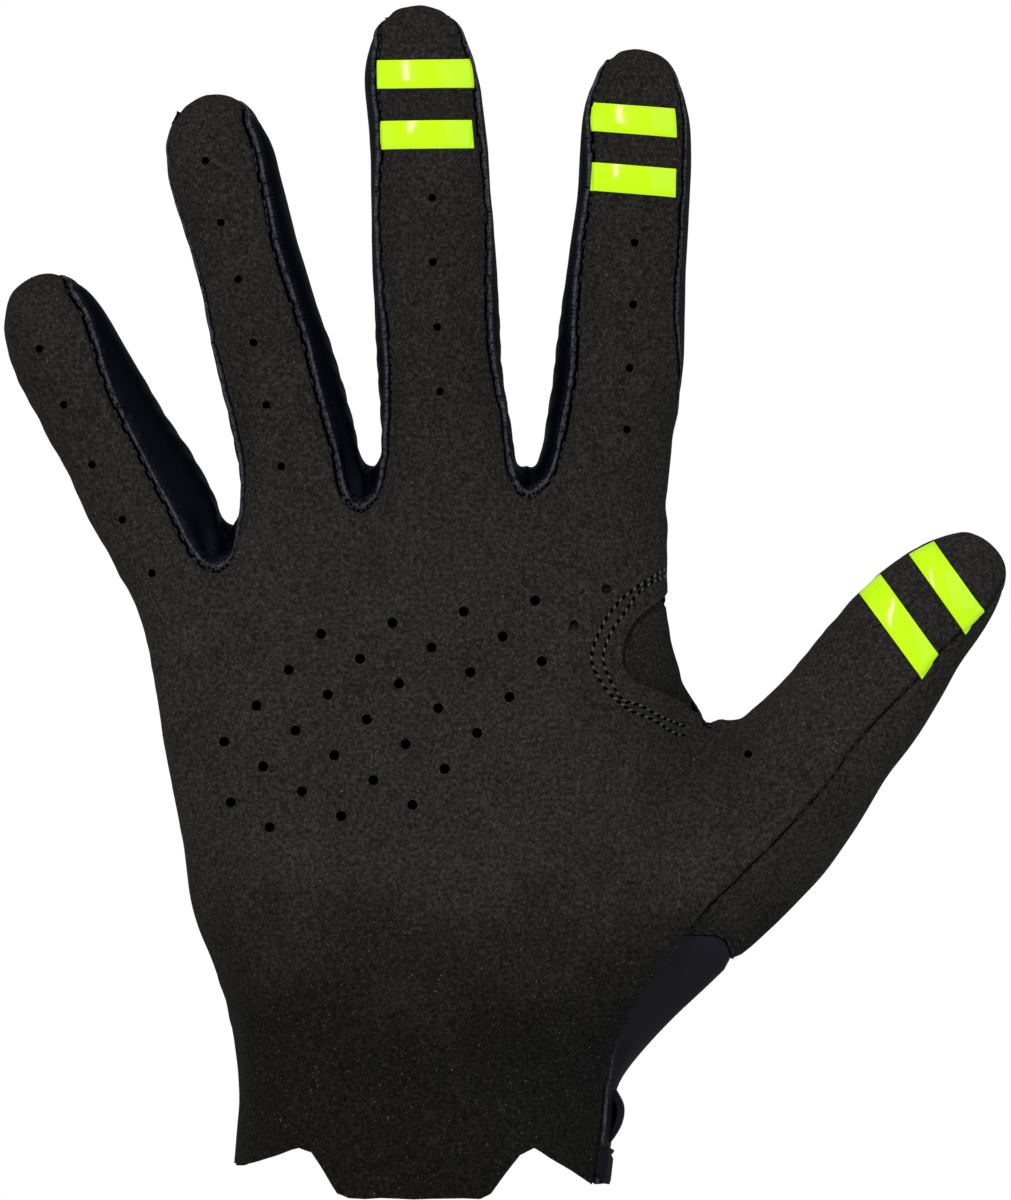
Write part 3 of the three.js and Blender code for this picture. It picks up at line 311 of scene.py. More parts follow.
# Distances from a gap's bottom and from a seam between which the painted sheen on the fan of gathers fades
# out, in mm
FAN_FADE = (3.0, 6.0)
FAN_SEAM_FADE = (1.0, 2.1)
# Waves of the gathers round a centre under the bottom of a gap. Columns: share of the height, waves in a
# radian, phase, turn with depth
GATHER_CENTRE = 2
GATHER_WAVES = ((1, 9, 0, 0.35), (0.5, 17, 1.3, 0.2))
# How far the fine rows over the gathers turn in a mm
FINE_ROW_TURN = 1.5
# Height of the gathers and of the fine rows in mm, then distances from the gap's bottom between which they
# rise and between which they end, and distances from a seam between which they begin
GATHER_LIMITS = (0.42, (0.5, 3.5), (7, 17), (0, 1.6))
FINE_ROW_LIMITS = (0.10, (8, 16), (26, 44), (0.4, 2.5))

# Shortest inward direction of a rim point that is not on a flat rim
FLAT_RIM = 0.2
# Cells between two points of a cut edge, and its waves: widths in mm and the row of the noise
EDGE_CELLS = 8
EDGE_WAVES = (3.1, 5, 4.7)


def hermite(a, slope_a, b, slope_b, t):
    u = 1 - t
    return a * u * u * (1 + 2 * t) + slope_a * t * u * u + b * t * t * (3 - 2 * t) - slope_b * t * t * u


def mix(a, b, share):
    return a + (b - a) * share


def fade(low, high, value):
    """A smooth step from 0 at low to 1 at high."""
    share = np.clip((value - low) / (high - low), 0, 1)
    return share * share * (3 - 2 * share)


def square(value):
    """A sine or cosine drawn out to the squarer section."""
    return math.copysign(abs(value) ** (2 / SECTION_POWER), value)


def spread(start, end, count):
    return [mix(start, end, i / count) for i in range(count + 1)]


def unit(vector):
    return vector / np.linalg.norm(vector)


def directions(lean):
    """Unit vectors along and across something that leans to the right by some degrees."""
    turn = math.radians(lean)
    return np.array((math.sin(turn), 0, math.cos(turn))), np.array((math.cos(turn), 0, -math.sin(turn)))


def lengths_of(points):
    """Length along a line of points, at each of them."""
    steps = np.linalg.norm(np.diff(points, axis=0), axis=1)
    return np.concatenate(([0], np.cumsum(steps)))


def at_lengths(points, lengths, goals):
    """Points of a line at given lengths along it."""
    return np.stack([np.interp(goals, lengths, points[:, k]) for k in range(3)], axis=1)


class Glove:
    """The sizes, in mm, and the control surface of the glove."""

    def __init__(self, sizes):
        self.palm_width = sizes.palm_width * MM
        self.palm_length = sizes.palm_length * MM
        self.palm_depth = sizes.palm_depth * MM
        self.wrist_width = sizes.wrist_width * MM
        self.wrist_depth = sizes.wrist_depth * MM
        self.fingers = [dict(zip(FINGER_COLUMNS, row)) for row in FINGER_TABLE]
        for finger in self.fingers:
            finger["sections"] = [dict(zip(SECTION_COLUMNS, row)) for row in finger["sections"]]
        self.thumb = self.fingers.pop()
        self.rows = [dict(zip(ROW_COLUMNS, row)) for row in PALM_ROWS]
        self.points = []
        self.places = {}
        self.faces = []
        self.marks = []
        self.maps = []

    # Fingers and thumb

    def column(self, table, name, place):
        """A column of a table at a given place, on a smooth curve through its rows."""
        last = len(table) - 1
        if place <= table[0]["at"]:
            return table[0][name]
        if place >= table[last]["at"]:
            return table[last][name]
        i = 0
        while place > table[i + 1]["at"]:
            i += 1
        a, b = table[i], table[i + 1]
        before, after = table[max(0, i - 1)], table[min(last, i + 2)]
        span = b["at"] - a["at"]
        slope_a = (b[name] - before[name]) / (b["at"] - before["at"]) * span
        slope_b = (after[name] - a[name]) / (after["at"] - a["at"]) * span
        return hermite(a[name], slope_a, b[name], slope_b, (place - a["at"]) / span)

    def axis(self, finger):
        return directions(finger["lean"])

    def root(self, finger):
        return np.array((finger["root_x"] * self.palm_width, 0, finger["root_z"] * self.palm_length))

    def finger_point(self, finger, place, degrees):
        along, across = self.axis(finger)
        left = self.column(finger["sections"], "left", place) * finger["width"]
        right = self.column(finger["sections"], "right", place) * finger["width"]
        closing = 1
        if place > TIP_START:
            share = min(1, (place - TIP_START) / (1 - TIP_START))
            closing = (1 - share ** TIP_POWER) ** (1 / TIP_POWER)
        thick = self.column(finger["sections"], "thick", place) * finger["depth"] / 2 * closing
        angle = math.radians(degrees)
        aside = (right - left) / 2 + (left + right) / 2 * closing * square(math.sin(angle))
        point = self.root(finger) + along * place * finger["length"] + across * aside
        point[1] = -FINGER_CURL * place * place - finger["advance"] - thick * square(math.cos(angle))
        return point

    def seams(self, finger, place, outer_left, outer_right):
        """Angles of the four seams round a finger, closing to its sides at the tip."""
        turn = float(fade(STRIP_TURN, STRIP_END, place))
        front_left = mix(self.column(finger["sections"], "seam_left", place), -90, turn)
        front_right = mix(self.column(finger["sections"], "seam_right", place), 90, turn)
        back_left = front_left if outer_left else mix(-finger["back"], -90, turn)
        back_right = front_right if outer_right else mix(finger["back"], 90, turn)
        return front_left, front_right, back_right, 360 + back_left

    def ring(self, finger, place, outer_left, outer_right):
        front_left, front_right, back_right, back_left = self.seams(finger, place, outer_left, outer_right)

        def run(start, end, count):
            return [self.finger_point(finger, place, a) for a in spread(start, end, count)]

        return {
            "front": run(front_left, front_right, FRONT_CELLS),
            "right": run(front_right, back_right, SIDE_CELLS),
            "back": run(back_right, back_left, BACK_CELLS),
            "left": run(back_left, 360 + front_left, SIDE_CELLS),
        }

    def ring_places(self, finger):
        return [*spread(finger["start"], SHAFT_END, SHAFT_CELLS), *TIP_ROWS]

    # Palm

    def row_sizes(self, z):
        share = float(fade(WRIST_FADE[0], WRIST_FADE[1], z))
        width = mix(self.wrist_width, self.palm_width, share)
        return width, mix(self.wrist_depth, self.palm_depth, share)

    def palm_form(self, x, z):
        rise = 0
        for form_x, form_z, reach_x, reach_z, form_rise in PALM_FORMS:
            u = (x / self.palm_width - form_x) / reach_x
            v = (z / self.palm_length - form_z) / reach_z
            rise += form_rise * self.palm_depth * math.exp(-(u * u + v * v))
        return rise

    def palm_point(self, row, degrees):
        left_width, left_depth = self.row_sizes(row["left_z"])
        right_width, right_depth = self.row_sizes(row["right_z"])
        left, right = row["left_x"] * left_width, row["right_x"] * right_width
        reach = square(math.sin(math.radians(min(90, row["turn"]))))
        half = (right - left) / (1 + reach)
        angle = math.radians(degrees)
        x = left + half + half * square(math.sin(angle))
        share = (x - left) / (right - left)
        z = mix(row["left_z"], row["right_z"], share) * self.palm_length
        depth = mix(left_depth, right_depth, share)
        facing = math.sqrt(max(0, math.cos(angle)))
        y = row["middle"] * depth - row["half"] * depth * square(math.cos(angle))
        return np.array((x, y - facing * self.palm_form(x, z), z))

    def palm_run(self, row, start, end, shares):
        """Points of a palm row between two angles, at shares of its length."""
        points = np.array([self.palm_point(row, a) for a in spread(start, end, RUN_STEPS)])
        lengths = lengths_of(points)
        return list(at_lengths(points, lengths, np.array(shares) * lengths[-1]))

    def border_shares(self, borders, cells):
        shares = [0]
        for low, high in zip(borders, borders[1:]):
            shares += [mix(low, high, k / cells) for k in range(1, cells + 1)]
        return shares

    def palm_row(self, row):
        back_turn = row["turn"] if row["turn"] > 90 else 180 - row["turn"]
        front_shares = self.border_shares(FRONT_BORDERS, FRONT_CELLS)
        back_shares = self.border_shares(BACK_BORDERS, BACK_CELLS)
        return {
            "front": self.palm_run(row, LEFT_TURN, row["turn"], front_shares),
            "side": [self.palm_point(row, a) for a in spread(row["turn"], back_turn, WRIST_SIDE_CELLS)],
            "back": self.palm_run(row, back_turn, 360 + LEFT_TURN, back_shares),
        }

    # Finger roots

    def crotch(self, index, kind):
        x, z, web_x, web_z = CROTCHES[index]
        outer = index in (0, len(CROTCHES) - 1)
        shares = {
            "front": (x, OUTER_SEAM if outer else CROTCH_FRONT, z),
            "web": (web_x, 0, web_z),
            "back": (web_x, OUTER_SEAM if outer else CROTCH_BACK, web_z - (0 if outer else CROTCH_BACK_DROP)),
        }[kind]
        return np.array(shares) * (self.palm_width, self.palm_depth, self.palm_length)

    def fitted(self, points, first, last):
        """A run moved so that its two ends meet the given points."""
        count = len(points) - 1
        return [p + mix(first - points[0], last - points[-1], i / count) for i, p in enumerate(points)]

    def web(self, index):
        front, back, deepest = (self.crotch(index, kind) for kind in ("front", "back", "web"))
        pull = deepest * 2 - (front + back) / 2
        return [
            front * (1 - t) ** 2 + pull * 2 * t * (1 - t) + back * t * t for t in spread(0, 1, SIDE_CELLS)
        ]

    def finger_root(self, number):
        last = len(self.fingers) - 1
        ring = self.ring(self.fingers[number], ROOT_PLACE, number == 0, number == last)
        fronts = self.crotch(number, "front"), self.crotch(number + 1, "front")
        return {
            "front": self.fitted(ring["front"], *fronts),
            "right": self.web(number + 1),
            "back": self.fitted(ring["back"], self.crotch(number + 1, "back"), self.crotch(number, "back")),
            "left": self.web(number)[::-1],
        }

    def root_rows(self, root, ring, finger, cells, lateral, outward=None):
        """Rows from a root to the first plain ring. lateral is how far a point leaves sideways."""
        along, across = self.axis(finger)
        rows = []
        for k in range(cells + 1):
            row = {}
            for run, points in root.items():
                row[run] = []
                for i, point in enumerate(points):
                    end = ring[run][i]
                    length = np.linalg.norm(end - point)
                    side = lateral(run, i)
                    leave = along * (1 - abs(side)) + across * side
                    onward = outward(run, i) if outward else None
                    if onward is not None:
                        leave = (leave + onward) / 2
                    row[run].append(hermite(point, leave * length, end, along * length, k / cells))
            rows.append(row)
        return rows

    def finger_lateral(self, outer_left, outer_right):
        near = {0: SEAM_LATERAL, 1: BACK_LATERAL}

        def lateral(run, i):
            if run == "front":
                if not outer_left and i in near:
                    return near[i]
                if not outer_right and FRONT_CELLS - i in near:
                    return -near[FRONT_CELLS - i]
                return 0
            if run == "back":
                if i == 0 and not outer_right:
                    return -BACK_LATERAL
                return BACK_LATERAL if i == BACK_CELLS and not outer_left else 0
            share = i / SIDE_CELLS
            edge = 1 - 4 * share * (1 - share)
            front = 1 - share if run == "right" else share
            amount = mix(BACK_LATERAL, mix(BACK_LATERAL, SEAM_LATERAL, front), edge)
            if run == "right":
                return 0 if outer_right else -amount
            return 0 if outer_left else amount

        return lateral

    # The control surface, one welded skin

    def number(self, point):
        key = tuple(round(float(v), 3) for v in point)
        if key not in self.places:
            self.places[key] = len(self.points)
            self.points.append(np.array(point, float))
        return self.places[key]

    def add_rows(self, rows, panel, insert=lambda k, i: False):
        """Rows of points, one above the other, become faces with a map in mm across and along."""
        lengths = [lengths_of(np.array(row)) for row in rows]
        across = [length - length[-1] / 2 for length in lengths]
        rises = [np.mean(np.linalg.norm(np.array(b) - np.array(a), axis=1)) for a, b in zip(rows, rows[1:])]
        along = np.concatenate(([rows[0][0][2]], rows[0][0][2] + np.cumsum(rises)))
        for k in range(len(rows) - 1):
            for i in range(len(rows[k]) - 1):
                corners = [(k, i), (k, i + 1), (k + 1, i + 1), (k + 1, i)]
                numbers = [self.number(rows[r][c]) for r, c in corners]
                spots = [(across[r][c], along[r]) for r, c in corners]
                kept = [j for j in range(4) if numbers[j] != numbers[j - 1]]
                if len(kept) < 3:
                    continue
                self.faces.append([numbers[j] for j in kept])
                self.maps += [spots[j] for j in kept]
                self.marks.append(panel + (INSERT_MARK if insert(k, i) else 0))

    def add_finger(self, number):
        finger = self.fingers[number]
        outer_left, outer_right = number == 0, number == len(self.fingers) - 1
        rings = [self.ring(finger, place, outer_left, outer_right) for place in self.ring_places(finger)]
        lateral = self.finger_lateral(outer_left, outer_right)
        roots = self.root_rows(self.finger_root(number), rings[0], finger, ROOT_CELLS, lateral)
        rows = [*roots[:-1], *rings]
        tip = self.finger_point(finger, 1, 0)
        for run, panel in (("front", PALM), ("back", BACK)):
            self.add_rows([*(row[run] for row in rows), [tip] * len(rows[0][run])], panel)
        if not outer_right:
            self.add_rows([row["right"] for row in rows], FOURCHETTES[number])
        if not outer_left:
            self.add_rows([row["left"] for row in rows], FOURCHETTES[number - 1])
        return {"front": roots[0]["front"], "back": roots[0]["back"],
                "next_front": rings[0]["front"], "next_back": rings[0]["back"]}

    def upper_rows(self, below, top, root, above):
        rows = []
        for k in range(UPPER_ROWS + 2):
            row = []
            for i, point in enumerate(top):
                rise = root[i] - point
                length = np.linalg.norm(rise)
                leave = unit(point - below[i]) * length
                arrive = (unit(above[i] - root[i]) * length + rise) / 2
                row.append(hermite(point, leave, root[i], arrive, k / (UPPER_ROWS + 1)))
            rows.append(row)
        return rows

    def join(self, runs):
        return [p for i, run in enumerate(runs) for p in (run if i == 0 else run[1:])]

    def build(self):
        rows = [self.palm_row(row) for row in self.rows]
        fingers = [self.add_finger(i) for i in range(len(self.fingers))]
        backwards = fingers[::-1]
        up_front = self.upper_rows(rows[-2]["front"], rows[-1]["front"],
                                   self.join([f["front"] for f in fingers]),
                                   self.join([f["next_front"] for f in fingers]))
        up_back = self.upper_rows(rows[-2]["back"], rows[-1]["back"],
                                  self.join([f["back"] for f in backwards]),
                                  self.join([f["next_back"] for f in backwards]))
        columns = len(FRONT_BORDERS[1:]) * FRONT_CELLS
        inserted = range(CROTCH_ROW, len(rows) - 1 + UPPER_ROWS)
        self.add_rows([*(row["front"] for row in rows), *up_front[1:]], PALM,
                      lambda k, i: k in inserted and i >= columns - INSERT_FRONT_COLUMNS)
        self.add_rows([*(row["back"] for row in rows), *up_back[1:]], BACK,
                      lambda k, i: k in inserted and i < INSERT_BACK_COLUMNS)
        self.add_rows([row["side"] for row in rows[:CUFF_ROW + 1]], BACK)
        self.add_thumb(rows)
        self.relax()

    def add_thumb(self, rows):
        """The thumb grows out of the open right ends of the palm rows."""
        thumb = self.thumb
        opened = rows[CUFF_ROW:CROTCH_ROW + 1]
        front = [row["front"][-1] for row in opened][::-1]
        rest = self.join([rows[CUFF_ROW]["side"], [row["back"][0] for row in opened]])
        rest_cells = len(rest) - 1
        rings = []
        for place in self.ring_places(thumb):
            front_left, front_right, _, _ = self.seams(thumb, place, True, False)
            front_turns = spread(front_left, front_right, len(front) - 1)
            rest_turns = spread(front_right, 360 + front_left, rest_cells)
            rings.append({
                "front": [self.finger_point(thumb, place, a) for a in front_turns],
                "rest": [self.finger_point(thumb, place, a) for a in rest_turns],
            })

        def lateral(run, i):
            if run == "front":
                return THUMB_FRONT_LATERAL[i]
            if i <= WRIST_SIDE_CELLS:
                return THUMB_SIDE_LATERAL[i]
            return THUMB_FRONT_LATERAL[0] if i == rest_cells else 0

        def outward(run, i):
            k = len(front) - 1 - i if run == "front" else i - WRIST_SIDE_CELLS
            if k <= 0 or k >= len(front) - 1:
                return None
            row = opened[k]["front"][-2:] if run == "front" else opened[k]["back"][1::-1]
            return unit(row[1] - row[0])

        starts = {"front": front, "rest": rest}
        roots = self.root_rows(starts, rings[0], thumb, THUMB_ROOT_CELLS, lateral, outward)
        half = THUMB_ROOT_CELLS // 2
        tip = self.finger_point(thumb, 1, 0)
        shaft = [*roots[:-1], *rings]
        self.add_rows([*(row["front"] for row in shaft), [tip] * len(front)], PALM)
        self.add_rows([row["rest"] for row in shaft[:half + 1]], BACK)
        self.add_rows([*(row["rest"] for row in shaft[half:]), [tip] * len(rest)], THUMB_BACK)

    def relax(self):
        """Eases the skin round the thumb's root, leaving every seam where it is."""
        panels = [set() for _ in self.points]
        neighbours = [set() for _ in self.points]
        uses = {}
        for face, mark in zip(self.faces, self.marks):
            pairs = [(face[j - 1], a) for j, a in enumerate(face)]
            for a, b in pairs:
                panels[a].add(mark % INSERT_MARK)
                uses[frozenset((a, b))] = uses.get(frozenset((a, b)), 0) + 1
            for a, b in [*pairs, (face[0], face[2])]:
                neighbours[a].add(b)
                neighbours[b].add(a)
        free = {a for edge, count in uses.items() if count == 1 for a in edge}
        points = np.array(self.points)
        centre = np.array((RELAX["x"] * self.palm_width, RELAX["z"] * self.palm_length))
        away = np.linalg.norm(points[:, (0, 2)] - centre, axis=1) / (RELAX["reach"] * self.palm_width)
        weights = RELAX["strength"] * np.exp(-away ** 4)
        for i in range(len(points)):
            if len(panels[i]) > 1 or i in free:
                weights[i] = 0
        for _ in range(RELAX["rounds"]):
            means = np.array([points[sorted(n)].mean(axis=0) for n in neighbours])
            points = points + (means - points) * weights[:, None]
        self.points = list(points)


class Skin:
    """The fine skin of the whole glove: points and normals in mm, faces, panel marks and map."""

    def __init__(self, glove, seams):
        self.glove = glove
        form = self.subdivided(glove, self.fitted(glove), SMOOTH_LEVELS)
        mesh = form.data
        self.points = read(mesh.vertices, "co", 3)
        self.faces = read(mesh.loops, "vertex_index", 1, np.int32).reshape(-1, 4)
        self.maps = read(mesh.uv_layers[0].data, "uv", 2).reshape(-1, 4, 2)
        self.marks = read(mesh.polygons, "material_index", 1, np.int32)
        bpy.data.objects.remove(form)
        self.panels = self.marks % INSERT_MARK
        self.find_seams()
        self.spread_crotches()
        self.shape(seams)
        self.normals = self.outward()
        self.tree = BVHTree.FromPolygons(self.points.tolist(), self.faces.tolist())

    def subdivided(self, glove, points, levels):
        """The control surface through given points, smoothed on to its limit."""
        mesh = bpy.data.meshes.new("skin_form")
        mesh.from_pydata(points.tolist(), [], glove.faces)
        layer = mesh.uv_layers.new(name="cloth_map")
        layer.data.foreach_set("uv", np.array(glove.maps, np.float32).ravel())
        mesh.polygons.foreach_set("material_index", np.array(glove.marks, np.int32))
        form = bpy.data.objects.new("skin_form", mesh)
        bpy.context.scene.collection.objects.link(form)
        select(form)
        bpy.ops.object.modifier_add(type="SUBSURF")
        form.modifiers[-1].levels = levels
        form.modifiers[-1].use_limit_surface = True
        bpy.ops.object.modifier_apply(modifier=form.modifiers[-1].name)
        return form

    def fitted(self, glove):
        """Control points whose smoothed surface runs through the glove's own points."""
        goals = np.array(glove.points)
        for x, z, reach, shift_x, shift_z in OUTLINE_SHIFTS:
            far = np.hypot(goals[:, 0] - x, goals[:, 2] - z) / reach
            goals[:, (0, 2)] += np.exp(-far[:, None] ** 2) * (shift_x, shift_z)
        points = goals.copy()
        for _ in range(FIT_ROUNDS):
            form = self.subdivided(glove, points, 1)
            points += goals - read(form.data.vertices, "co", 3)[:len(goals)]
            bpy.data.objects.remove(form)
        return points

    def outward(self):
        a, b, c, d = (self.points[self.faces[:, k]] for k in range(4))
        across = np.cross(c - a, d - b)
        normals = np.zeros_like(self.points)
        for k in range(4):
            np.add.at(normals, self.faces[:, k], across)
        return normals / np.linalg.norm(normals, axis=1)[:, None]

    def find_seams(self):
        """Edges where two panels meet, each in the direction of its lower numbered panel."""
        starts = self.faces.ravel()
        ends = np.roll(self.faces, -1, axis=1).ravel()
        owner = self.panels[np.repeat(np.arange(len(self.faces)), 4)]
        keys = np.sort(np.stack((starts, ends), axis=1), axis=1)
        order = np.lexsort((owner, keys[:, 1], keys[:, 0]))
        keys, owner = keys[order], owner[order]
        twin = np.flatnonzero((keys[1:] == keys[:-1]).all(axis=1))
        twin = twin[owner[twin] != owner[twin + 1]]
        self.seams = np.stack((starts, ends), axis=1)[order[twin]]
        self.seam_panels = np.stack((owner[twin], owner[twin + 1]), axis=1)

    def spread_crotches(self):
        """Rounds the bottoms of the gaps between the fingers."""
        points = self.points
        for index, (lean, seam, seam_shift, web, web_shift) in enumerate(CROTCH_SPREADS):
            along, across = directions(lean)
            front = 1 - fade(*SPREAD_DEPTHS, points[:, 1])
            sides = (("front", seam, seam_shift, front), ("web", web, web_shift, 1 - front))
            for kind, amount, shift, share in sides:
                offset = points - self.glove.crotch(index + 1, kind)
                aside, rise = offset @ across, offset @ along
                near = np.exp(-(rise / np.where(rise > 0, SPREAD_ABOVE, SPREAD_BELOW)) ** 2)
                near = near * np.exp(-(aside / SPREAD_ASIDE) ** 4)
                push = (amount * np.tanh(aside / SPREAD_TURN) + shift) * near * share
                points = points + push[:, None] * across
        self.points = points

    def shape(self, seams):
        """Presses the seams in, puckers the cloth beside them and lays the folds and gathers."""
        points = self.points
        normals = self.outward()
        tree = kdtree.KDTree(len(self.seams) * SEAM_SPOTS)
        for k in range(SEAM_SPOTS):
            spots = mix(points[self.seams[:, 0]], points[self.seams[:, 1]], k / SEAM_SPOTS)
            for i, spot in enumerate(spots):
                tree.insert(spot, k * len(spots) + i)
        tree.balance()
        away, pucker, swell = np.zeros((3, len(points)))
        nearest = np.zeros(len(points), int)
        for i, point in enumerate(points):
            spot, nearest[i], away[i] = tree.find(point)
            if away[i] < seams.reach:
                pucker[i] = noise.noise(spot * seams.pucker_pitch)
            swell[i] = sum(noise.noise(Vector(point) / width) * height for width, height in SWELLS)
        suede = np.zeros(len(points), bool)
        for panel in SUEDE_PANELS:
            suede[self.faces[self.panels == panel].ravel()] = True
        rise = -seams.depth * np.exp(-(away / seams.half_width) ** 2)
        pillow = np.where(suede & (away >= ON_SEAM), seams.suede_pillow, seams.cloth_pillow)
        rise += pillow * np.exp(-((away - seams.pillow_at) / seams.pillow_width) ** 2)
        rise += seams.pucker * pucker * np.exp(-away / seams.pucker_reach)
        rise += swell * fade(0, SWELL_CLEAR, away)
        rise += self.folds(points, normals) * fade(0, FOLD_CLEAR, away)
        # Distance from the palm seam in mm, turn round the bottom of a gap, and nearness to that bottom
        self.sewing = np.zeros((len(points), 3))
        by_palm = self.seam_panels[nearest % len(self.seams), 0] == PALM
        self.sewing[:, 0] = np.where(by_palm, away, seams.reach)
        rise += self.gathers(points, away)
        self.points = points + normals * rise[:, None]

    def folds(self, points, normals):
        """Soft folds of the palm side, shallower towards their ends."""
        size = np.array((self.glove.palm_width, self.glove.palm_length))
        flat = points[:, (0, 2)]
        rise = np.zeros(len(points))
        for x0, z0, x1, z1, half, depth in PALM_FOLDS:
            start, end = np.array((x0, z0)) * size, np.array((x1, z1)) * size
            run = end - start
            share = np.clip((flat - start) @ run / (run @ run), 0, 1)
            aside = np.linalg.norm(flat - start - share[:, None] * run, axis=1)
            ends = FOLD_END + (1 - FOLD_END) * np.sin(np.pi * np.clip(share, 0.06, 0.94))
            rise -= depth * ends * np.exp(-(aside / half) ** 2)
        return rise * fade(*FOLD_FACING, -normals[:, 1])

    def gathers(self, points, away):
        """Gathers of the strips between the fingers, fanning up from the bottom of each web."""
        rise = np.zeros(len(points))
        for index, panel in enumerate(FOURCHETTES):
            used = np.unique(self.faces[self.panels == panel].ravel())
            offset = points[used] - self.glove.crotch(index + 1, "front")
            aside, deep, up = offset.T
            clear = away[used]
            far = np.linalg.norm(offset, axis=1)
            self.sewing[used, 1] = np.arctan2(aside, GAP_RADIUS - up)
            self.sewing[used, 2] = (1 - fade(*FAN_FADE, far)) * (1 - fade(*FAN_SEAM_FADE, clear))
            turn = np.arctan2(aside, up + GATHER_CENTRE)
            wave = 0
            for share, waves, phase, lean in GATHER_WAVES:
                wave = wave + share * np.sin(turn * waves + phase + deep * lean)
            rows = np.sin(far * FINE_ROW_TURN + deep * 0.5 + turn)
            for form, (height, start, end, begin) in ((wave, GATHER_LIMITS), (rows, FINE_ROW_LIMITS)):
                lift = height * form * fade(*start, far) * (1 - fade(*end, far)) * fade(*begin, clear)
                rise[used] += lift
        return rise

    def nearest(self, point):
        """The point of the skin nearest to a given one, with its outward normal."""
        spot, normal, _, _ = self.tree.find_nearest(Vector(point))
        return np.array(spot), np.array(normal)

    def facing(self, x, z):
        """The palm side's point at x and z, with its outward normal."""
        spot, normal, _, _ = self.tree.ray_cast(Vector((x, -120, z)), Vector((0, 1, 0)))
        if spot is None:
            return self.nearest((x, 0, z))
        return np.array(spot), np.array(normal)


def read(items, name, width, kind=np.float32):
    values = np.zeros(len(items) * width, kind)
    items.foreach_get(name, values)
    values = values.reshape(-1, width) if width > 1 else values
    return values.astype(float) if kind is np.float32 else values


def select(*items):
    bpy.ops.object.select_all(action="DESELECT")
    for item in items:
        item.select_set(True)
    bpy.context.view_layer.objects.active = items[0]


def new_piece(name, points, faces, maps=None):
    """A mesh object from points in mm."""
    mesh = bpy.data.meshes.new(name)
    mesh.from_pydata((np.asarray(points) / MM).tolist(), [], [list(map(int, f)) for f in faces])
    if maps is not None:
        layer = mesh.uv_layers.new(name="cloth_map")
        layer.data.foreach_set("uv", np.asarray(maps, np.float32).ravel())
    mesh.validate()
    piece = bpy.data.objects.new(name, mesh)
    bpy.context.scene.collection.objects.link(piece)
    return piece


def finish_piece(piece, material, nodes=(), angle=40):
    piece.data.materials.clear()
    piece.data.materials.append(material)
    select(piece)
    bpy.ops.object.shade_smooth_by_angle(angle=math.radians(angle))
    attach(piece, "root")
    if nodes:
        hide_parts(*nodes)


def wall_from(skin, chosen, name, outside, wall, pull):
    """A closed wall under some faces of the skin, its outer side a given depth below it."""
    faces = skin.faces[chosen]
    used, inverse = np.unique(faces, return_inverse=True)
    faces = inverse.reshape(faces.shape)
    starts, ends = faces.ravel(), np.roll(faces, -1, axis=1).ravel()
    spots = skin.maps[chosen].reshape(-1, 2)
    edge_keys = starts.astype(np.int64) * len(used) + ends
    twins = ends.astype(np.int64) * len(used) + starts
    border = ~np.isin(edge_keys, twins)
    rim_start, rim_end = starts[border], ends[border]
    normals = skin.normals[used]
    outside = np.broadcast_to(outside, len(skin.points))[used]
    outer = skin.points[used] - normals * outside[:, None]
    edge = outer[rim_end] - outer[rim_start]
    edge /= np.linalg.norm(edge, axis=1)[:, None]
    inward = np.zeros_like(outer)
    for rim in (rim_start, rim_end):
        np.add.at(inward, rim, np.cross(normals[rim], edge))
    size = np.linalg.norm(inward, axis=1)
    moved = size > FLAT_RIM
    outer[moved] += inward[moved] / size[moved][:, None] * pull
    inner = outer - normals * wall
    count = len(used)
    rim_faces = np.stack((rim_end, rim_start, rim_start + count, rim_end + count), axis=1)
    all_faces = np.concatenate((faces, faces[:, ::-1] + count, rim_faces))
    start_map = spots[border]
    end_map = np.roll(skin.maps[chosen], -1, axis=1).reshape(-1, 2)[border]
    rim_map = np.stack((end_map, start_map, start_map, end_map), axis=1)
    maps = np.concatenate((skin.maps[chosen], skin.maps[chosen][:, ::-1], rim_map))
    piece = new_piece(name, np.concatenate((outer, inner)), all_faces, maps)
    add_attribute(piece, "sewing", "FLOAT_VECTOR", "vector", np.tile(skin.sewing[used], (2, 1)))
    return piece


def add_attribute(piece, name, kind, field, values):
    layer = piece.data.attributes.new(name, kind, "POINT")
    layer.data.foreach_set(field, values.astype(np.float32).ravel())


def turn_faces_out(piece):
    select(piece)
    bpy.ops.object.mode_set(mode="EDIT")
    bpy.ops.mesh.select_all(action="SELECT")
    bpy.ops.mesh.normals_make_consistent(inside=False)
    bpy.ops.object.mode_set(mode="OBJECT")


def prism(name, outline, near, far):
    """A cutter over an outline of x and z, between two depths, all in mm."""
    count = len(outline)
    points = [(x, near, z) for x, z in outline] + [(x, far, z) for x, z in outline]
    sides = [(i, (i + 1) % count, (i + 1) % count + count, i + count) for i in range(count)]
    cutter = new_piece(name, points, [tuple(range(count))[::-1], tuple(range(count, 2 * count)), *sides])
    turn_faces_out(cutter)
    return cutter


def cut_away(piece, cutter):
    select(piece)
    bpy.ops.object.modifier_add(type="BOOLEAN")
    cut = piece.modifiers[-1]
    cut.operation = "DIFFERENCE"
    cut.solver = "MANIFOLD"
    cut.object = cutter
    bpy.ops.object.modifier_apply(modifier=cut.name)
    bpy.data.objects.remove(cutter)


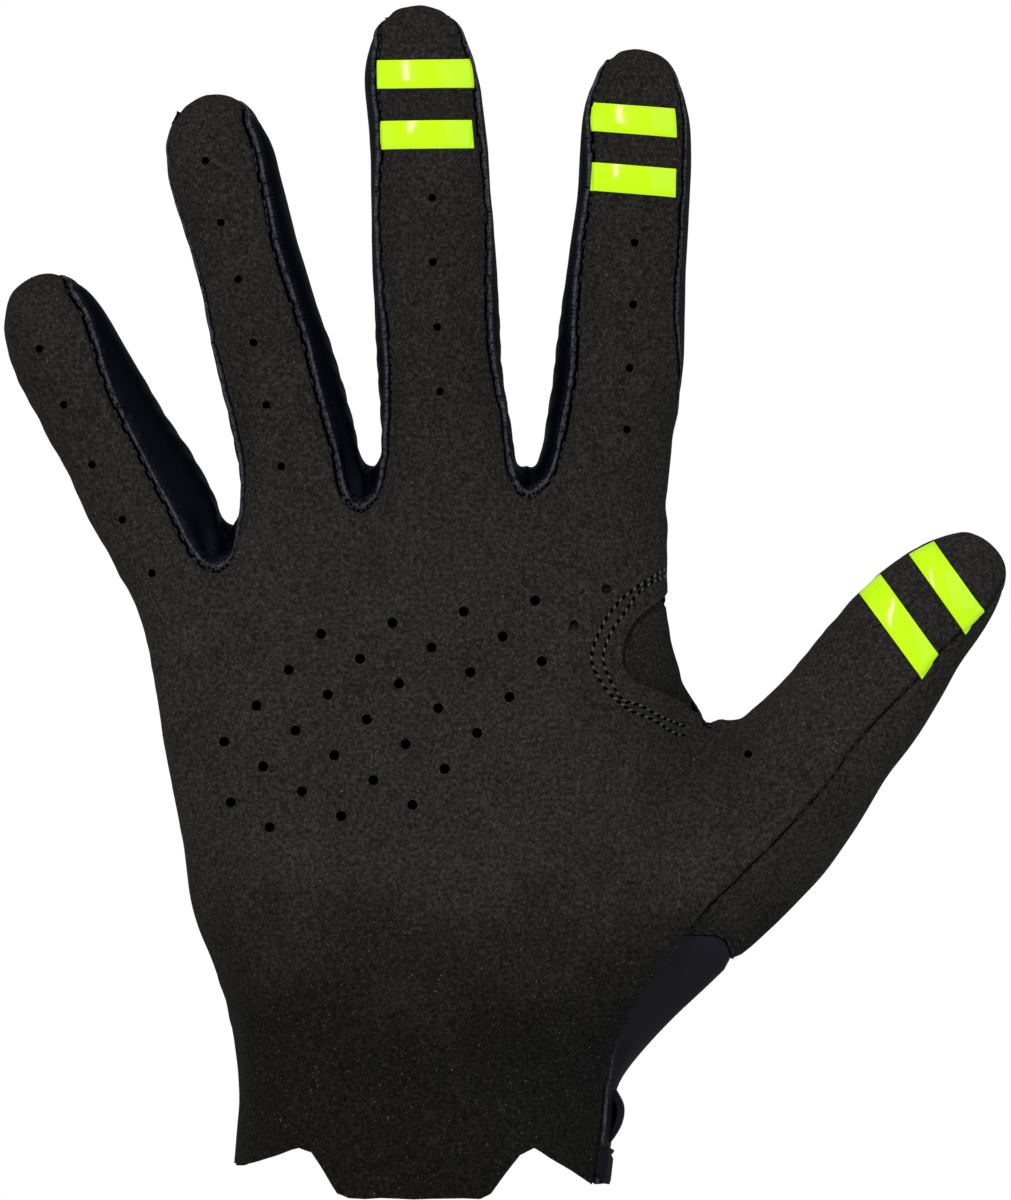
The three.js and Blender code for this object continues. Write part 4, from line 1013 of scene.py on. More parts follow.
def curved(points, cells):
    """A smooth curve through points, with a number of cells between each two."""
    table = np.array(points, float)
    line = []
    for i in range(len(table) - 1):
        a, b = table[i], table[i + 1]
        before, after = table[max(0, i - 1)], table[min(len(table) - 1, i + 2)]
        for k in range(cells):
            line.append(hermite(a, (b - before) / 2, b, (after - a) / 2, k / cells))
    return np.array([*line, table[-1]])


def under(edge, wave, width, length):
    """The outline of everything under a lower edge, with its small waves."""
    line = np.array(edge) * (width, length)
    shares = [k / EDGE_CELLS for k in range(EDGE_CELLS)]
    fine = [mix(a, b, share) for a, b in zip(line, line[1:]) for share in shares] + [line[-1]]
    across, along, row = EDGE_WAVES
    fine = [(x, z + wave * noise.noise(Vector((x / across, z / along, row)))) for x, z in fine]
    return [*fine, (fine[-1][0], -length), (fine[0][0], -length)]


# Materials


# Painted shade on the suede where it is sunk: outside the cutout 0, in it rising to 1 at the cutout's edge,
# where a painted shadow is darkest
RECESS_SHADE_TONES = ((0.0, 1.0), (0.05, 0.72), (0.945, 0.70), (0.97, 0.08), (1.0, 0.04))
# Painted shade on the suede, darker towards the wrist and a little darker on the fingers, then painted sheen
# on the stretch cloth low over the wrist, at fifths of a metre over the cuff
FALLOFF_SHADE_TONES = ((0.17, 0.40), (0.25, 0.66), (0.33, 1.05), (0.60, 1.0), (0.72, 0.85))
PAINTED_SHEEN_TONES = ((0.05, 0.5), (0.14, 0.9), (0.28, 1.0), (0.42, 0.0))
HEIGHT_SHARE = 5
# Ticks beside a seam: how far the wave turns in a mm, for a pitch of 0.75 mm
TICK_TURN = 2 * math.pi / 0.75
# How pale the turned edge is, with its painted highlight, and how high its ticks are, at quarters of a mm
# from the seam
EDGE_TONES = ((0.11, 0.0), (0.16, 1.0), (0.21, 1.0), (0.27, 0.12), (0.60, 0.0))
TICK_HEIGHTS = ((0.1, 0), (0.25, 1), (0.7, 0))
EDGE_SHARE = 0.25
# Lean of the two sets of ribs of the stretch cloth, and their pitch in mm
RIB_LEAN = 0.55
RIB_PITCH = 0.62


class Surface:
    """A material whose nodes are added one by one, in the object's own coordinates."""

    def __init__(self, name):
        self.material = bpy.data.materials.new(name)
        self.material.use_nodes = True
        self.nodes = self.material.node_tree.nodes
        self.shader = self.nodes["Principled BSDF"]
        self.place = self.nodes.new("ShaderNodeTexCoord").outputs["Object"]

    def feed(self, socket, value):
        """Joins an input to another node's output, or gives it a value."""
        if isinstance(value, bpy.types.NodeSocket):
            self.material.node_tree.links.new(value, socket)
        else:
            socket.default_value = value

    def feed_all(self, node, values):
        for name, value in values.items():
            self.feed(node.inputs[name], value)

    def cloud(self, scale, detail=4, roughness=0.6):
        node = self.nodes.new("ShaderNodeTexNoise")
        self.feed_all(node, {"Scale": scale, "Detail": detail, "Roughness": roughness, "Vector": self.place})
        return node.outputs["Fac"]

    def ramp(self, source, stops):
        """Colours, or shades of grey, between places from 0 to 1."""
        node = self.nodes.new("ShaderNodeValToRGB")
        elements = node.color_ramp.elements
        while len(elements) < len(stops):
            elements.new(0.5)
        for element, (place, colour) in zip(elements, stops):
            element.position = place
            element.color = (*np.broadcast_to(colour, 3).tolist(), 1)
        self.feed(node.inputs["Fac"], source)
        return node.outputs["Color"]

    def blend(self, kind, share, first, second):
        node = self.nodes.new("ShaderNodeMix")
        node.data_type = "RGBA"
        node.blend_type = kind
        for number, value in ((0, share), (6, first), (7, second)):
            self.feed(node.inputs[number], value)
        return node.outputs[2]

    def compute(self, operation, *values):
        node = self.nodes.new("ShaderNodeMath")
        node.operation = operation
        for socket, value in zip(node.inputs, values):
            self.feed(socket, value)
        return node.outputs[0]

    def bump(self, height, strength, distance, normal=None):
        node = self.nodes.new("ShaderNodeBump")
        self.feed_all(node, {"Strength": strength, "Distance": distance, "Height": height})
        if normal is not None:
            self.feed(node.inputs["Normal"], normal)
        return node.outputs["Normal"]

    def attribute(self, name, output):
        node = self.nodes.new("ShaderNodeAttribute")
        node.attribute_name = name
        return node.outputs[output]

    def parts(self, vector):
        node = self.nodes.new("ShaderNodeSeparateXYZ")
        self.feed(node.inputs[0], vector)
        return node.outputs

    def height(self, waver, amount):
        """Height over the cuff in fifths of a metre, wavering by an amount in metres."""
        lean = self.compute("MULTIPLY_ADD", waver, amount, self.parts(self.place)["Z"])
        return self.compute("MULTIPLY", lean, HEIGHT_SHARE)


def shade(colour, factor):
    return tuple(c * factor for c in colour)


def suede_material(colours):
    """Short-napped synthetic suede: a mottled brown black with fine pale fibre ends."""
    cloth = Surface("brown_black_suede")
    base = tuple(colours.suede)
    grain = cloth.cloud(1500, 6, 0.75)
    patches = cloth.cloud(70, 3)
    ground = cloth.ramp(grain, ((0.36, shade(base, 0.36)), (0.5, base), (0.64, shade(base, 2.2))))
    patch = cloth.ramp(patches, ((0.3, (0.88, 0.87, 0.86)), (0.7, 1.10)))
    # Painted shade: the suede is painted darker towards the wrist and a little darker on the fingers, where
    # the light falls off
    falloff_shade = cloth.ramp(cloth.height(patches, 0.022), FALLOFF_SHADE_TONES)
    # Painted shade: the insert is a little darker in its recess in the cutout, with a painted shadow darkest
    # along the cutout's edge
    recess_shade = cloth.ramp(cloth.attribute("recess_shade", "Fac"), RECESS_SHADE_TONES)
    for tone in (patch, falloff_shade, recess_shade):
        ground = cloth.blend("MULTIPLY", 1, ground, tone)
    specks = cloth.ramp(cloth.cloud(2600, 2, 0.5), ((0.69, 0), (0.75, 1)))
    specks = cloth.blend("MULTIPLY", 1, specks, recess_shade)
    pale = (*np.minimum(1, shade(base, 6)).tolist(), 1)
    cloth.feed_all(cloth.shader, {
        "Base Color": cloth.blend("MIX", specks, ground, pale),
        "Roughness": 0.92,
        "Specular IOR Level": 0.05,
        "Sheen Weight": 0.015,
        "Sheen Roughness": 0.55,
        "Normal": cloth.bump(grain, 0.5, 0.00025),
    })


def stretch_material(colours):
    """Smooth warp-knitted stretch cloth with fine ribs and a soft sheen."""
    cloth = Surface("navy_black_stretch")
    compute = cloth.compute
    spot = cloth.nodes.new("ShaderNodeUVMap")
    spot.uv_map = "cloth_map"
    heights = []
    for lean in (RIB_LEAN, -RIB_LEAN):
        turned = cloth.nodes.new("ShaderNodeMapping")
        cloth.feed_all(turned, {"Rotation": (0, 0, lean), "Vector": spot.outputs["UV"]})
        wave = cloth.nodes.new("ShaderNodeTexWave")
        scale = 2 * math.pi / (20 * RIB_PITCH)
        cloth.feed_all(wave, {"Scale": scale, "Distortion": 0.4, "Vector": turned.outputs["Vector"]})
        heights.append(wave.outputs["Fac"])
    knit = compute("MAXIMUM", *heights)
    base = tuple(colours.stretch)
    ground = cloth.ramp(knit, ((0.2, shade(base, 0.6)), (0.9, shade(base, 1.5))))
    patches = cloth.cloud(90, 3)
    ground = cloth.blend("MULTIPLY", 1, ground, cloth.ramp(patches, ((0.3, 0.8), (0.7, 1.2))))
    # Painted sheen: over the wrist and the thumb's root the cloth is painted paler
    painted_sheen = cloth.ramp(cloth.height(patches, 0.012), PAINTED_SHEEN_TONES)
    ground = cloth.blend("MIX", painted_sheen, ground, (*colours.painted_sheen_stretch, 1))

    # The turned edge beside the palm seam is paler and ticked, partly by its pale ticks and partly by a
    # painted highlight on the rolled edge; the crests of the gathers in the gaps carry a painted sheen
    distance, turn, nearness = cloth.parts(cloth.attribute("sewing", "Vector"))
    ticks = compute("SINE", compute("MULTIPLY", cloth.parts(spot.outputs["UV"])["Y"], TICK_TURN))
    ticks = compute("MULTIPLY_ADD", ticks, 0.5, 0.5)
    highlight_breakup = compute("MULTIPLY_ADD", cloth.cloud(900, 2), 3.2, -1.05)
    near = compute("MULTIPLY", distance, EDGE_SHARE)
    broken = compute("MULTIPLY_ADD", ticks, 0.35, highlight_breakup)
    edge = compute("MULTIPLY", cloth.ramp(near, EDGE_TONES), broken)
    fan = compute("SINE", compute("MULTIPLY", turn, GATHERS_ROUND))
    fan = compute("MULTIPLY", compute("MAXIMUM", fan, 0.0), nearness)
    fan = compute("MULTIPLY", fan, compute("MAXIMUM", highlight_breakup, 0.15))
    pale = compute("MAXIMUM", compute("MAXIMUM", edge, 0.0), fan)
    ribs = compute("MULTIPLY", ticks, cloth.ramp(near, TICK_HEIGHTS))
    ribbed = cloth.bump(compute("MAXIMUM", ribs, fan), 0.6, 0.0003)
    cloth.feed_all(cloth.shader, {
        "Base Color": cloth.blend("MIX", pale, ground, (*colours.turned_edge_and_highlight, 1)),
        "Roughness": 0.48,
        "Specular IOR Level": 0.04,
        "Sheen Weight": 0.008,
        "Sheen Roughness": 0.35,
        "Sheen Tint": (0.45, 0.55, 1, 1),
        "Normal": cloth.bump(knit, 0.35, 0.0001, ribbed),
    })


def silicone_material(colours):
    """Glossy cast silicone, faintly uneven."""
    rubber = Surface("neon_silicone")
    swell = rubber.cloud(260, 2)
    base = tuple(colours.silicone)
    rubber.feed_all(rubber.shader, {
        "Base Color": rubber.ramp(swell, ((0.3, shade(base, 0.93)), (0.7, base))),
        "Roughness": 0.16,
        "Specular IOR Level": 0.25,
        "Coat Weight": 0.30,
        "Coat Roughness": 0.05,
        # Painted glow: the emission makes the silicone brighter than the lamps light it
        "Emission Color": (*base, 1),
        "Emission Strength": 0.30,
        "Normal": rubber.bump(swell, 0.12, 0.0004),
    })


def thread_material(name, base, gloss):
    """Twisted polyester sewing thread."""
    thread = Surface(name)
    thread.feed_all(thread.shader, {
        "Base Color": thread.ramp(thread.cloud(1800, 2), ((0.35, shade(base, 0.5)), (0.65, base))),
        "Roughness": 0.5,
        "Specular IOR Level": gloss,
    })


def material(name):
    if name not in bpy.data.materials:
        makers = {
            "brown_black_suede": suede_material,
            "navy_black_stretch": stretch_material,
            "neon_silicone": silicone_material,
        }
        colours = bpy.context.scene.glove_colours
        threads = {
            "dark_thread": (colours.thread, 0.4),
            "grey_thread": (colours.cutout_thread, 0.4),
            "needle_hole_shadow": ([c * 0.02 for c in colours.thread], 0),
            "pale_lint": (colours.lint, 0.4),
        }
        if name in threads:
            colour, gloss = threads[name]
            thread_material(name, tuple(colour), gloss)
        else:
            makers[name](colours)
    return bpy.data.materials[name]


# Sizes and colours that a user would change


class GloveSizes(bpy.types.PropertyGroup):
    palm_width: bpy.props.FloatProperty(
        name="Palm width", description="Width over the knuckles", default=0.090, unit="LENGTH")
    palm_length: bpy.props.FloatProperty(
        name="Palm length", description="From the cuff to the root of the middle finger", default=0.113,
        unit="LENGTH")
    palm_depth: bpy.props.FloatProperty(
        name="Palm depth", description="Thickness of the filled palm", default=0.030, unit="LENGTH")
    wrist_width: bpy.props.FloatProperty(
        name="Wrist width", description="Width of the wrist opening", default=0.067, unit="LENGTH")
    wrist_depth: bpy.props.FloatProperty(
        name="Wrist depth", description="Depth of the wrist opening", default=0.041, unit="LENGTH")
    suede_wall: bpy.props.FloatProperty(
        name="Suede thickness", description="Thickness of the palm cloth", default=0.0011, unit="LENGTH")
    stretch_wall: bpy.props.FloatProperty(
        name="Stretch cloth thickness", description="Thickness of the back cloth", default=0.0009,
        unit="LENGTH")
    seam_gap: bpy.props.FloatProperty(
        name="Seam gap", description="Gap between two panels at their seam", default=0.0003, unit="LENGTH")
    stripe_width: bpy.props.FloatProperty(
        name="Stripe width", description="Width of a silicone grip stripe", default=0.005, unit="LENGTH")
    stripe_thickness: bpy.props.FloatProperty(
        name="Stripe thickness", description="Height of a silicone grip stripe", default=0.0007,
        unit="LENGTH")
    palm_hole: bpy.props.FloatProperty(
        name="Palm hole", description="Width of a hole in the palm", default=0.0018, unit="LENGTH")
    finger_hole: bpy.props.FloatProperty(
        name="Finger hole", description="Width of a hole in a finger", default=0.0014, unit="LENGTH")
    hole_step_across: bpy.props.FloatProperty(
        name="Hole step across", description="Distance of the holes in a row", default=0.0127, unit="LENGTH")
    hole_step_down: bpy.props.FloatProperty(
        name="Hole step down", description="Distance of the rows of holes", default=0.0085, unit="LENGTH")


class SeamSizes(bpy.types.PropertyGroup):
    """Sizes of the sewn seams in mm."""
    depth: bpy.props.FloatProperty(name="Depth", description="Depth of a seam in mm", default=0.60)
    half_width: bpy.props.FloatProperty(
        name="Half width", description="Half width of a seam in mm", default=0.48)
    cloth_pillow: bpy.props.FloatProperty(
        name="Cloth pillow", description="Swell of the stretch cloth beside a seam in mm", default=0.34)
    suede_pillow: bpy.props.FloatProperty(
        name="Suede pillow", description="Swell of the suede beside a seam in mm", default=0.20)
    pillow_at: bpy.props.FloatProperty(
        name="Pillow place", description="Distance of the swell from the seam in mm", default=1.0)
    pillow_width: bpy.props.FloatProperty(
        name="Pillow width", description="Half width of the swell in mm", default=0.6)
    pucker: bpy.props.FloatProperty(name="Pucker", description="Height of the puckers in mm", default=0.40)
    pucker_pitch: bpy.props.FloatProperty(
        name="Pucker pitch", description="Puckers for each mm of seam", default=0.30)
    pucker_reach: bpy.props.FloatProperty(
        name="Pucker reach", description="How far the puckers run in from a seam in mm", default=2.2)
    reach: bpy.props.FloatProperty(
        name="Reach", description="Where the puckers have died away, in mm", default=14)


class GloveColours(bpy.types.PropertyGroup):
    suede: bpy.props.FloatVectorProperty(
        name="Suede", description="Colour of the palm", subtype="COLOR", default=(0.0246, 0.0235, 0.0222))
    stretch: bpy.props.FloatVectorProperty(
        name="Stretch cloth", description="Colour of the back and the side strips", subtype="COLOR",
        default=(0.0010, 0.0014, 0.0034))
    # Painted sheen: a paler colour painted on the stretch cloth low over the wrist
    painted_sheen_stretch: bpy.props.FloatVectorProperty(
        name="Painted sheen on the stretch cloth", description="Colour of the back cloth beside the wrist", subtype="COLOR",
        default=(0.0190, 0.0190, 0.0255))
    # Painted highlight on the turned edge beside the palm seam, and painted sheen on the crests of the
    # gathers
    turned_edge_and_highlight: bpy.props.FloatVectorProperty(
        name="Turned edge and highlight", description="Colour of the cloth's turned edge beside the palm, with a painted highlight, and of the painted sheen on the gathers", subtype="COLOR",
        default=(0.080, 0.083, 0.102))
    silicone: bpy.props.FloatVectorProperty(
        name="Silicone", description="Colour of the grip stripes", subtype="COLOR",
        default=(0.58, 1.0, 0.006))
    thread: bpy.props.FloatVectorProperty(
        name="Thread", description="Colour of the stitches", subtype="COLOR", default=(0.018, 0.019, 0.026))
    cutout_thread: bpy.props.FloatVectorProperty(
        name="Cutout thread", description="Colour of the stitches round the cutout", subtype="COLOR",
        default=(0.100, 0.102, 0.102))
    lint: bpy.props.FloatVectorProperty(
        name="Lint", description="Colour of the loose fibres", subtype="COLOR", default=(0.20, 0.195, 0.185))


built = {}


def glove_skin():
    if "skin" not in built:
        glove = Glove(bpy.context.scene.glove_sizes)
        glove.build()
        built["skin"] = Skin(glove, bpy.context.scene.glove_seams)
    return built["skin"]


def panel_wall(name, panel, wall):
    skin = glove_skin()
    gap = bpy.context.scene.glove_sizes.seam_gap * MM / 2
    return wall_from(skin, skin.panels == panel, name, 0, wall * MM, gap)


def hole_cutter():
    """Every hole of the palm side as one cutter."""
    sizes = bpy.context.scene.glove_sizes
    glove = glove_skin().glove
    spots = []
    for row, count in enumerate(HOLES_IN_ROWS):
        for i in range(count):
            spot = np.array(FIRST_HOLE) * (glove.palm_width, glove.palm_length)
            for length, turn, times in (
                (sizes.hole_step_down, HOLE_STEP_DIRECTION, row),
                (sizes.hole_step_across, HOLE_ROW_DIRECTION, i),
            ):
                angle = math.radians(turn)
                spot = spot + np.array((math.cos(angle), math.sin(angle))) * length * MM * times
            spots.append((*spot, sizes.palm_hole))
    for finger, holes in zip([*glove.fingers, glove.thumb], FINGER_HOLES):
        along, across = glove.axis(finger)
        for at, aside in holes:
            spot = glove.root(finger) + along * at * finger["length"] + across * aside * finger["width"]
            spots.append((spot[0], spot[2], sizes.finger_hole))
    cutters = []
    for x, z, width in spots:
        bpy.ops.object.select_all(action="DESELECT")
        bpy.ops.mesh.primitive_cylinder_add(
            vertices=HOLE_SIDES, radius=width / 2, depth=0.06,
            location=(x / MM, -0.03, z / MM), rotation=(math.pi / 2, 0, 0))
        cutters.append(bpy.context.object)
    select(*cutters)
    bpy.ops.object.join()
    bpy.ops.object.transform_apply(location=True, rotation=True, scale=True)
    return bpy.context.object


# Waves of the cut edges in mm: of the raw suede and of the back's hem
SUEDE_EDGE_WAVE = 0.25
HEM_EDGE_WAVE = 0.1
# Reach of the cutters to both sides, and the depth of the cutout in the back panel, in mm
CUTTER_REACH = 80
BACK_LENS_DEPTH = 3.4


def cut_under(piece, edge, wave):
    """Cuts away everything under a lower edge."""
    glove = glove_skin().glove
    outline = under(edge, wave, glove.wrist_width, glove.palm_length)
    cut_away(piece, prism("edge_cutter", outline, -CUTTER_REACH, CUTTER_REACH))


def cut_lens(piece, depth):
    """Cuts the cutout beside the thumb from the palm side to a given depth."""
    glove = glove_skin().glove
    lens = curved(CUTOUT, 6) * (glove.palm_width, glove.palm_length)
    cut_away(piece, prism("lens_cutter", lens.tolist(), -CUTTER_REACH, depth))


class GLOVE_OT_palm(bpy.types.Operator):
    """Build the suede palm panel with its holes, cutout and raw cuff edge."""
    bl_idname = "glove.palm"
    bl_label = "Palm panel"

    def execute(self, context):
        palm = panel_wall("palm_panel_suede", PALM, context.scene.glove_sizes.suede_wall)
        cut_under(palm, PALM_EDGE, SUEDE_EDGE_WAVE)
        cut_lens(palm, CUTTER_REACH)
        cut_away(palm, hole_cutter())
        finish_piece(palm, material("brown_black_suede"), ["palm_panel"])
        return {"FINISHED"}


class GLOVE_OT_back(bpy.types.Operator):
    """Build the stretch back panel."""
    bl_idname = "glove.back"
    bl_label = "Back panel"

    def execute(self, context):
        back = panel_wall("back_panel_stretch", BACK, context.scene.glove_sizes.stretch_wall)
        cut_under(back, BACK_EDGE, HEM_EDGE_WAVE)
        cut_lens(back, BACK_LENS_DEPTH)
        finish_piece(back, material("navy_black_stretch"), ["back_panel"])
        return {"FINISHED"}


class GLOVE_OT_thumb_back(bpy.types.Operator):
    """Build the suede panel on the outer side of the thumb."""
    bl_idname = "glove.thumb_back"
    bl_label = "Thumb back panel"

    def execute(self, context):
        piece = panel_wall("thumb_back_suede", THUMB_BACK, context.scene.glove_sizes.suede_wall)
        finish_piece(piece, material("brown_black_suede"), ["thumb_back_panel"])
        return {"FINISHED"}


def inside_lens(glove, points):
    """How far inside the cutout the points lie in mm, and 0 outside it."""
    line = curved(CUTOUT, 12) * (glove.palm_width, glove.palm_length)
    flat = points[:, (0, 2)]
    far = np.min(np.linalg.norm(flat[:, None] - line[None], axis=2), axis=1)
    crossings = np.zeros(len(flat), int)
    for (x0, z0), (x1, z1) in zip(line, np.roll(line, -1, axis=0)):
        if z0 != z1:
            spans = (flat[:, 1] > min(z0, z1)) & (flat[:, 1] <= max(z0, z1))
            crossings += spans & (flat[:, 0] < x0 + (flat[:, 1] - z0) * (x1 - x0) / (z1 - z0))
    return far * (crossings % 2)


# The insert's wall, its gap under the palm panel and its depth where it is raised in the cutout, in mm
INSERT_WALL = 0.9
INSERT_GAP = 0.3
INSERT_RAISED_DEPTH = 0.35
# The insert rises between these distances inside the cutout, and lies low again behind these depths, in mm
INSERT_RISE = (0.2, 2.2)
INSERT_FALL = (1.4, 4.0)
# Heights between which the shadow along the cutout's edge fades in, and the reach of its tones, in mm
SHADOW_END = (82, 87)
SHADOW_REACH = 12


class GLOVE_OT_insert(bpy.types.Operator):
    """Build the insert that shows in the cutout beside the thumb."""
    bl_idname = "glove.insert"
    bl_label = "Thumb crotch insert"

    def execute(self, context):
        skin = glove_skin()
        inside = inside_lens(skin.glove, skin.points)
        raised = fade(*INSERT_RISE, inside) * (1 - fade(*INSERT_FALL, skin.points[:, 1]))
        low = context.scene.glove_sizes.suede_wall * MM + INSERT_GAP
        chosen = skin.marks >= INSERT_MARK
        depth = mix(low, INSERT_RAISED_DEPTH, raised)
        piece = wall_from(skin, chosen, "thumb_crotch_insert_suede", depth, INSERT_WALL, 0)
        # The shadow along the edge fades out at its lower end
        inside += np.where(inside > 0, 1.0 - fade(*SHADOW_END, skin.points[:, 2]), 0)
        shown = np.where(inside > 0, 1 - np.minimum(inside, SHADOW_REACH - 1) / SHADOW_REACH, 0)
        recess_shade = np.tile(shown[np.unique(skin.faces[chosen])], 2)
        # Painted shade in the cutout's recess, with a painted shadow darkest along its edge
        add_attribute(piece, "recess_shade", "FLOAT", "value", recess_shade)
        finish_piece(piece, material("brown_black_suede"), ["thumb_crotch_insert"])
        return {"FINISHED"}


class GLOVE_OT_fourchettes(bpy.types.Operator):
    """Build the gathered strips between the fingers."""
    bl_idname = "glove.fourchettes"
    bl_label = "Strips between the fingers"

    def execute(self, context):
        names = ("fourchette_little_ring", "fourchette_ring_middle", "fourchette_middle_index")
        for name, panel in zip(names, FOURCHETTES):
            piece = panel_wall(name + "_stretch", panel, context.scene.glove_sizes.stretch_wall)
            finish_piece(piece, material("navy_black_stretch"), [name])
        return {"FINISHED"}


STRIPE_CELLS = 48
STRIPE_ROWS = 12
# Depth of a stripe's foot in the skin and its rounded edge, in mm
STRIPE_FOOT = 0.25
STRIPE_BEVEL = 0.16
# Height of a stripe's edge and the rise to its crown, as shares of its thickness
STRIPE_EDGE = 0.62
STRIPE_CROWN = 0.38
BEVEL_ANGLE = 50
# How far ahead and behind a stitch its line is looked at, in mm
LOOK_AHEAD = 0.3


def pad(name, top, foot, rows, cells, bevel_width):
    """A closed pad from grids of points over and under it."""
    columns, count = cells + 1, len(top)
    faces = []
    for k in range(rows):
        for i in range(cells):
            a = k * columns + i
            faces.append((a, a + 1, a + 1 + columns, a + columns))
    rim = [(i, i + 1) for i in range(cells)]
    rim += [(cells + k * columns, cells + (k + 1) * columns) for k in range(rows)]
    rim += [(count - 1 - i, count - 2 - i) for i in range(cells)]
    rim += [((k + 1) * columns, k * columns) for k in range(rows)]
    below = [tuple(v + count for v in face[::-1]) for face in faces]
    sides = [(b, a, a + count, b + count) for a, b in rim]
    faces = [*faces, *below, *sides]
    across, along = np.linalg.norm(top[1] - top[0]), np.linalg.norm(top[columns] - top[0])
    maps = [(v % count % columns * across, v % count // columns * along) for face in faces for v in face]
    piece = new_piece(name, [*top, *foot], faces, maps)
    select(piece)
    bpy.ops.object.modifier_add(type="BEVEL")
    bevel = piece.modifiers[-1]
    bevel.width = bevel_width / MM
    bevel.segments = 3
    bevel.limit_method = "ANGLE"
    bevel.angle_limit = math.radians(BEVEL_ANGLE)
    bpy.ops.object.modifier_apply(modifier=bevel.name)
    return piece


class GLOVE_OT_stripes(bpy.types.Operator):
    """Build the crowned silicone stripes on the middle finger, the index finger and the thumb."""
    bl_idname = "glove.stripes"
    bl_label = "Grip stripes"

    def execute(self, context):
        sizes = context.scene.glove_sizes
        skin = glove_skin()
        for stripe in STRIPES:
            piece = self.stripe(skin, stripe, sizes.stripe_width * MM, sizes.stripe_thickness * MM)
            finish_piece(piece, material("neon_silicone"), [stripe[0]], 50)
        return {"FINISHED"}

    def stripe(self, skin, stripe, width, thickness):
        glove = skin.glove
        name, number, at, slant, left, right = stripe
        finger = [*glove.fingers, glove.thumb][number]
        across = glove.axis(finger)[1]
        fall = math.tan(math.radians(slant)) / finger["length"]
        turns = spread(left, right, STRIPE_CELLS)
        top, foot = [], []
        for k in range(STRIPE_ROWS + 1):
            v = 2 * k / STRIPE_ROWS - 1
            v = math.copysign(1 - (1 - abs(v)) ** 1.5, v)
            for i, turn in enumerate(turns):
                u = 2 * i / STRIPE_CELLS - 1
                offset = v * width / 2 / finger["length"]
                level = glove.finger_point(finger, at + offset, turn)
                place = at + offset - (level - glove.root(finger)) @ across * fall
                spot, normal = skin.nearest(glove.finger_point(finger, place, turn))
                crown = STRIPE_EDGE + STRIPE_CROWN * (1 - abs(v) ** 3) * (1 - abs(u) ** 14)
                top.append(spot + normal * thickness * crown)
                foot.append(spot - normal * STRIPE_FOOT)
        return pad(name + "_silicone", top, foot, STRIPE_ROWS, STRIPE_CELLS, STRIPE_BEVEL)


def stitch_form():
    """One stitch of unit length, as points and faces."""
    bpy.ops.object.select_all(action="DESELECT")
    bpy.ops.mesh.primitive_uv_sphere_add(segments=6, ring_count=5, radius=0.5, rotation=(0, math.pi / 2, 0))
    form = bpy.context.object
    bpy.ops.object.transform_apply(location=False, rotation=True, scale=False)
    points = read(form.data.vertices, "co", 3)
    faces = [list(p.vertices) for p in form.data.polygons]
    bpy.data.objects.remove(form)
    return points, faces


def resample(line, pitch, shift):
    """Points at an even pitch along a line of points, with their directions."""
    line = np.array(line)
    lengths = lengths_of(line)
    count = max(1, int(lengths[-1] / pitch))
    places = (np.arange(count) + 0.5 + shift) * lengths[-1] / count
    ahead, behind = (at_lengths(line, lengths, places + look) for look in (LOOK_AHEAD, -LOOK_AHEAD))
    return at_lengths(line, lengths, places), ahead - behind


def sewn(name, lines, pitch, length, width, lift, aside=0, turn=0, shift=0, finish="dark_thread"):
    """Stitches laid on the skin along lines, each turned a little across its line."""
    skin = glove_skin()
    form, form_faces = stitch_form()
    points, faces = [], []
    for line in lines:
        spots, ways = resample(line, pitch, shift)
        for spot, way in zip(spots, ways):
            spot, normal = skin.nearest(spot)
            if aside:
                spot, normal = skin.nearest(spot - np.cross(normal, unit(way)) * aside)
            way = unit(way - normal * (way @ normal))
            side = np.cross(normal, way)
            way = way * math.cos(turn) + side * math.sin(turn)
            side = np.cross(normal, way)
            base = len(points) * len(form)
            points.append(
                spot + normal * lift + form[:, :1] * way * length
                + form[:, 1:2] * side * width + form[:, 2:] * normal * width)
            faces += [[v + base for v in face] for face in form_faces]
    piece = new_piece(name, np.concatenate(points), faces)
    finish_piece(piece, material(finish), angle=80)
    return piece


def chains(edges):
    """Directed edges joined into lines of point numbers."""
    onward = {int(a): int(b) for a, b in edges}
    ends = set(onward.values())
    lines = []
    for start in sorted(onward, key=lambda v: (v in ends, v)):
        line = [start]
        while line[-1] in onward:
            line.append(onward.pop(line[-1]))
        if len(line) > 1:
            lines.append(line)
    return lines


# Lowest stitch of the wrist seams at the little finger's side and at the thumb's side, in mm
CUFF_SEAM_END = (1.2, -2.6)
# Seam lines with fewer points than this carry no stitches
SHORTEST_SEAM = 8
# Columns: name; pitch, length, width, height over the skin and distance beside the seam in mm
SEAM_THREADS = (
    ("palm_seam_thread", (1.55, 1.45, 0.40, 0.10, 0.62)),
    ("thumb_seam_thread", (2.0, 1.5, 0.34, 0.05, 0.5)),
    ("back_seam_thread", (2.2, 1.6, 0.36, 0.06, 0.6)),
)
# Columns: name; pitch, length, width and height over the skin in mm; shift as a share of the pitch; finish
CUTOUT_SEWING = (
    ("cutout_stitches", (1.65, 0.95, 0.46, 0.14), 0, "grey_thread"),
    # Painted shadow: black ellipsoids between the stitches stand for the shade in the needle holes
    ("cutout_needle_hole_shadows", (1.65, 1.35, 0.90, -0.26), 0.5, "needle_hole_shadow"),
)
CUTOUT_SLANT = 22


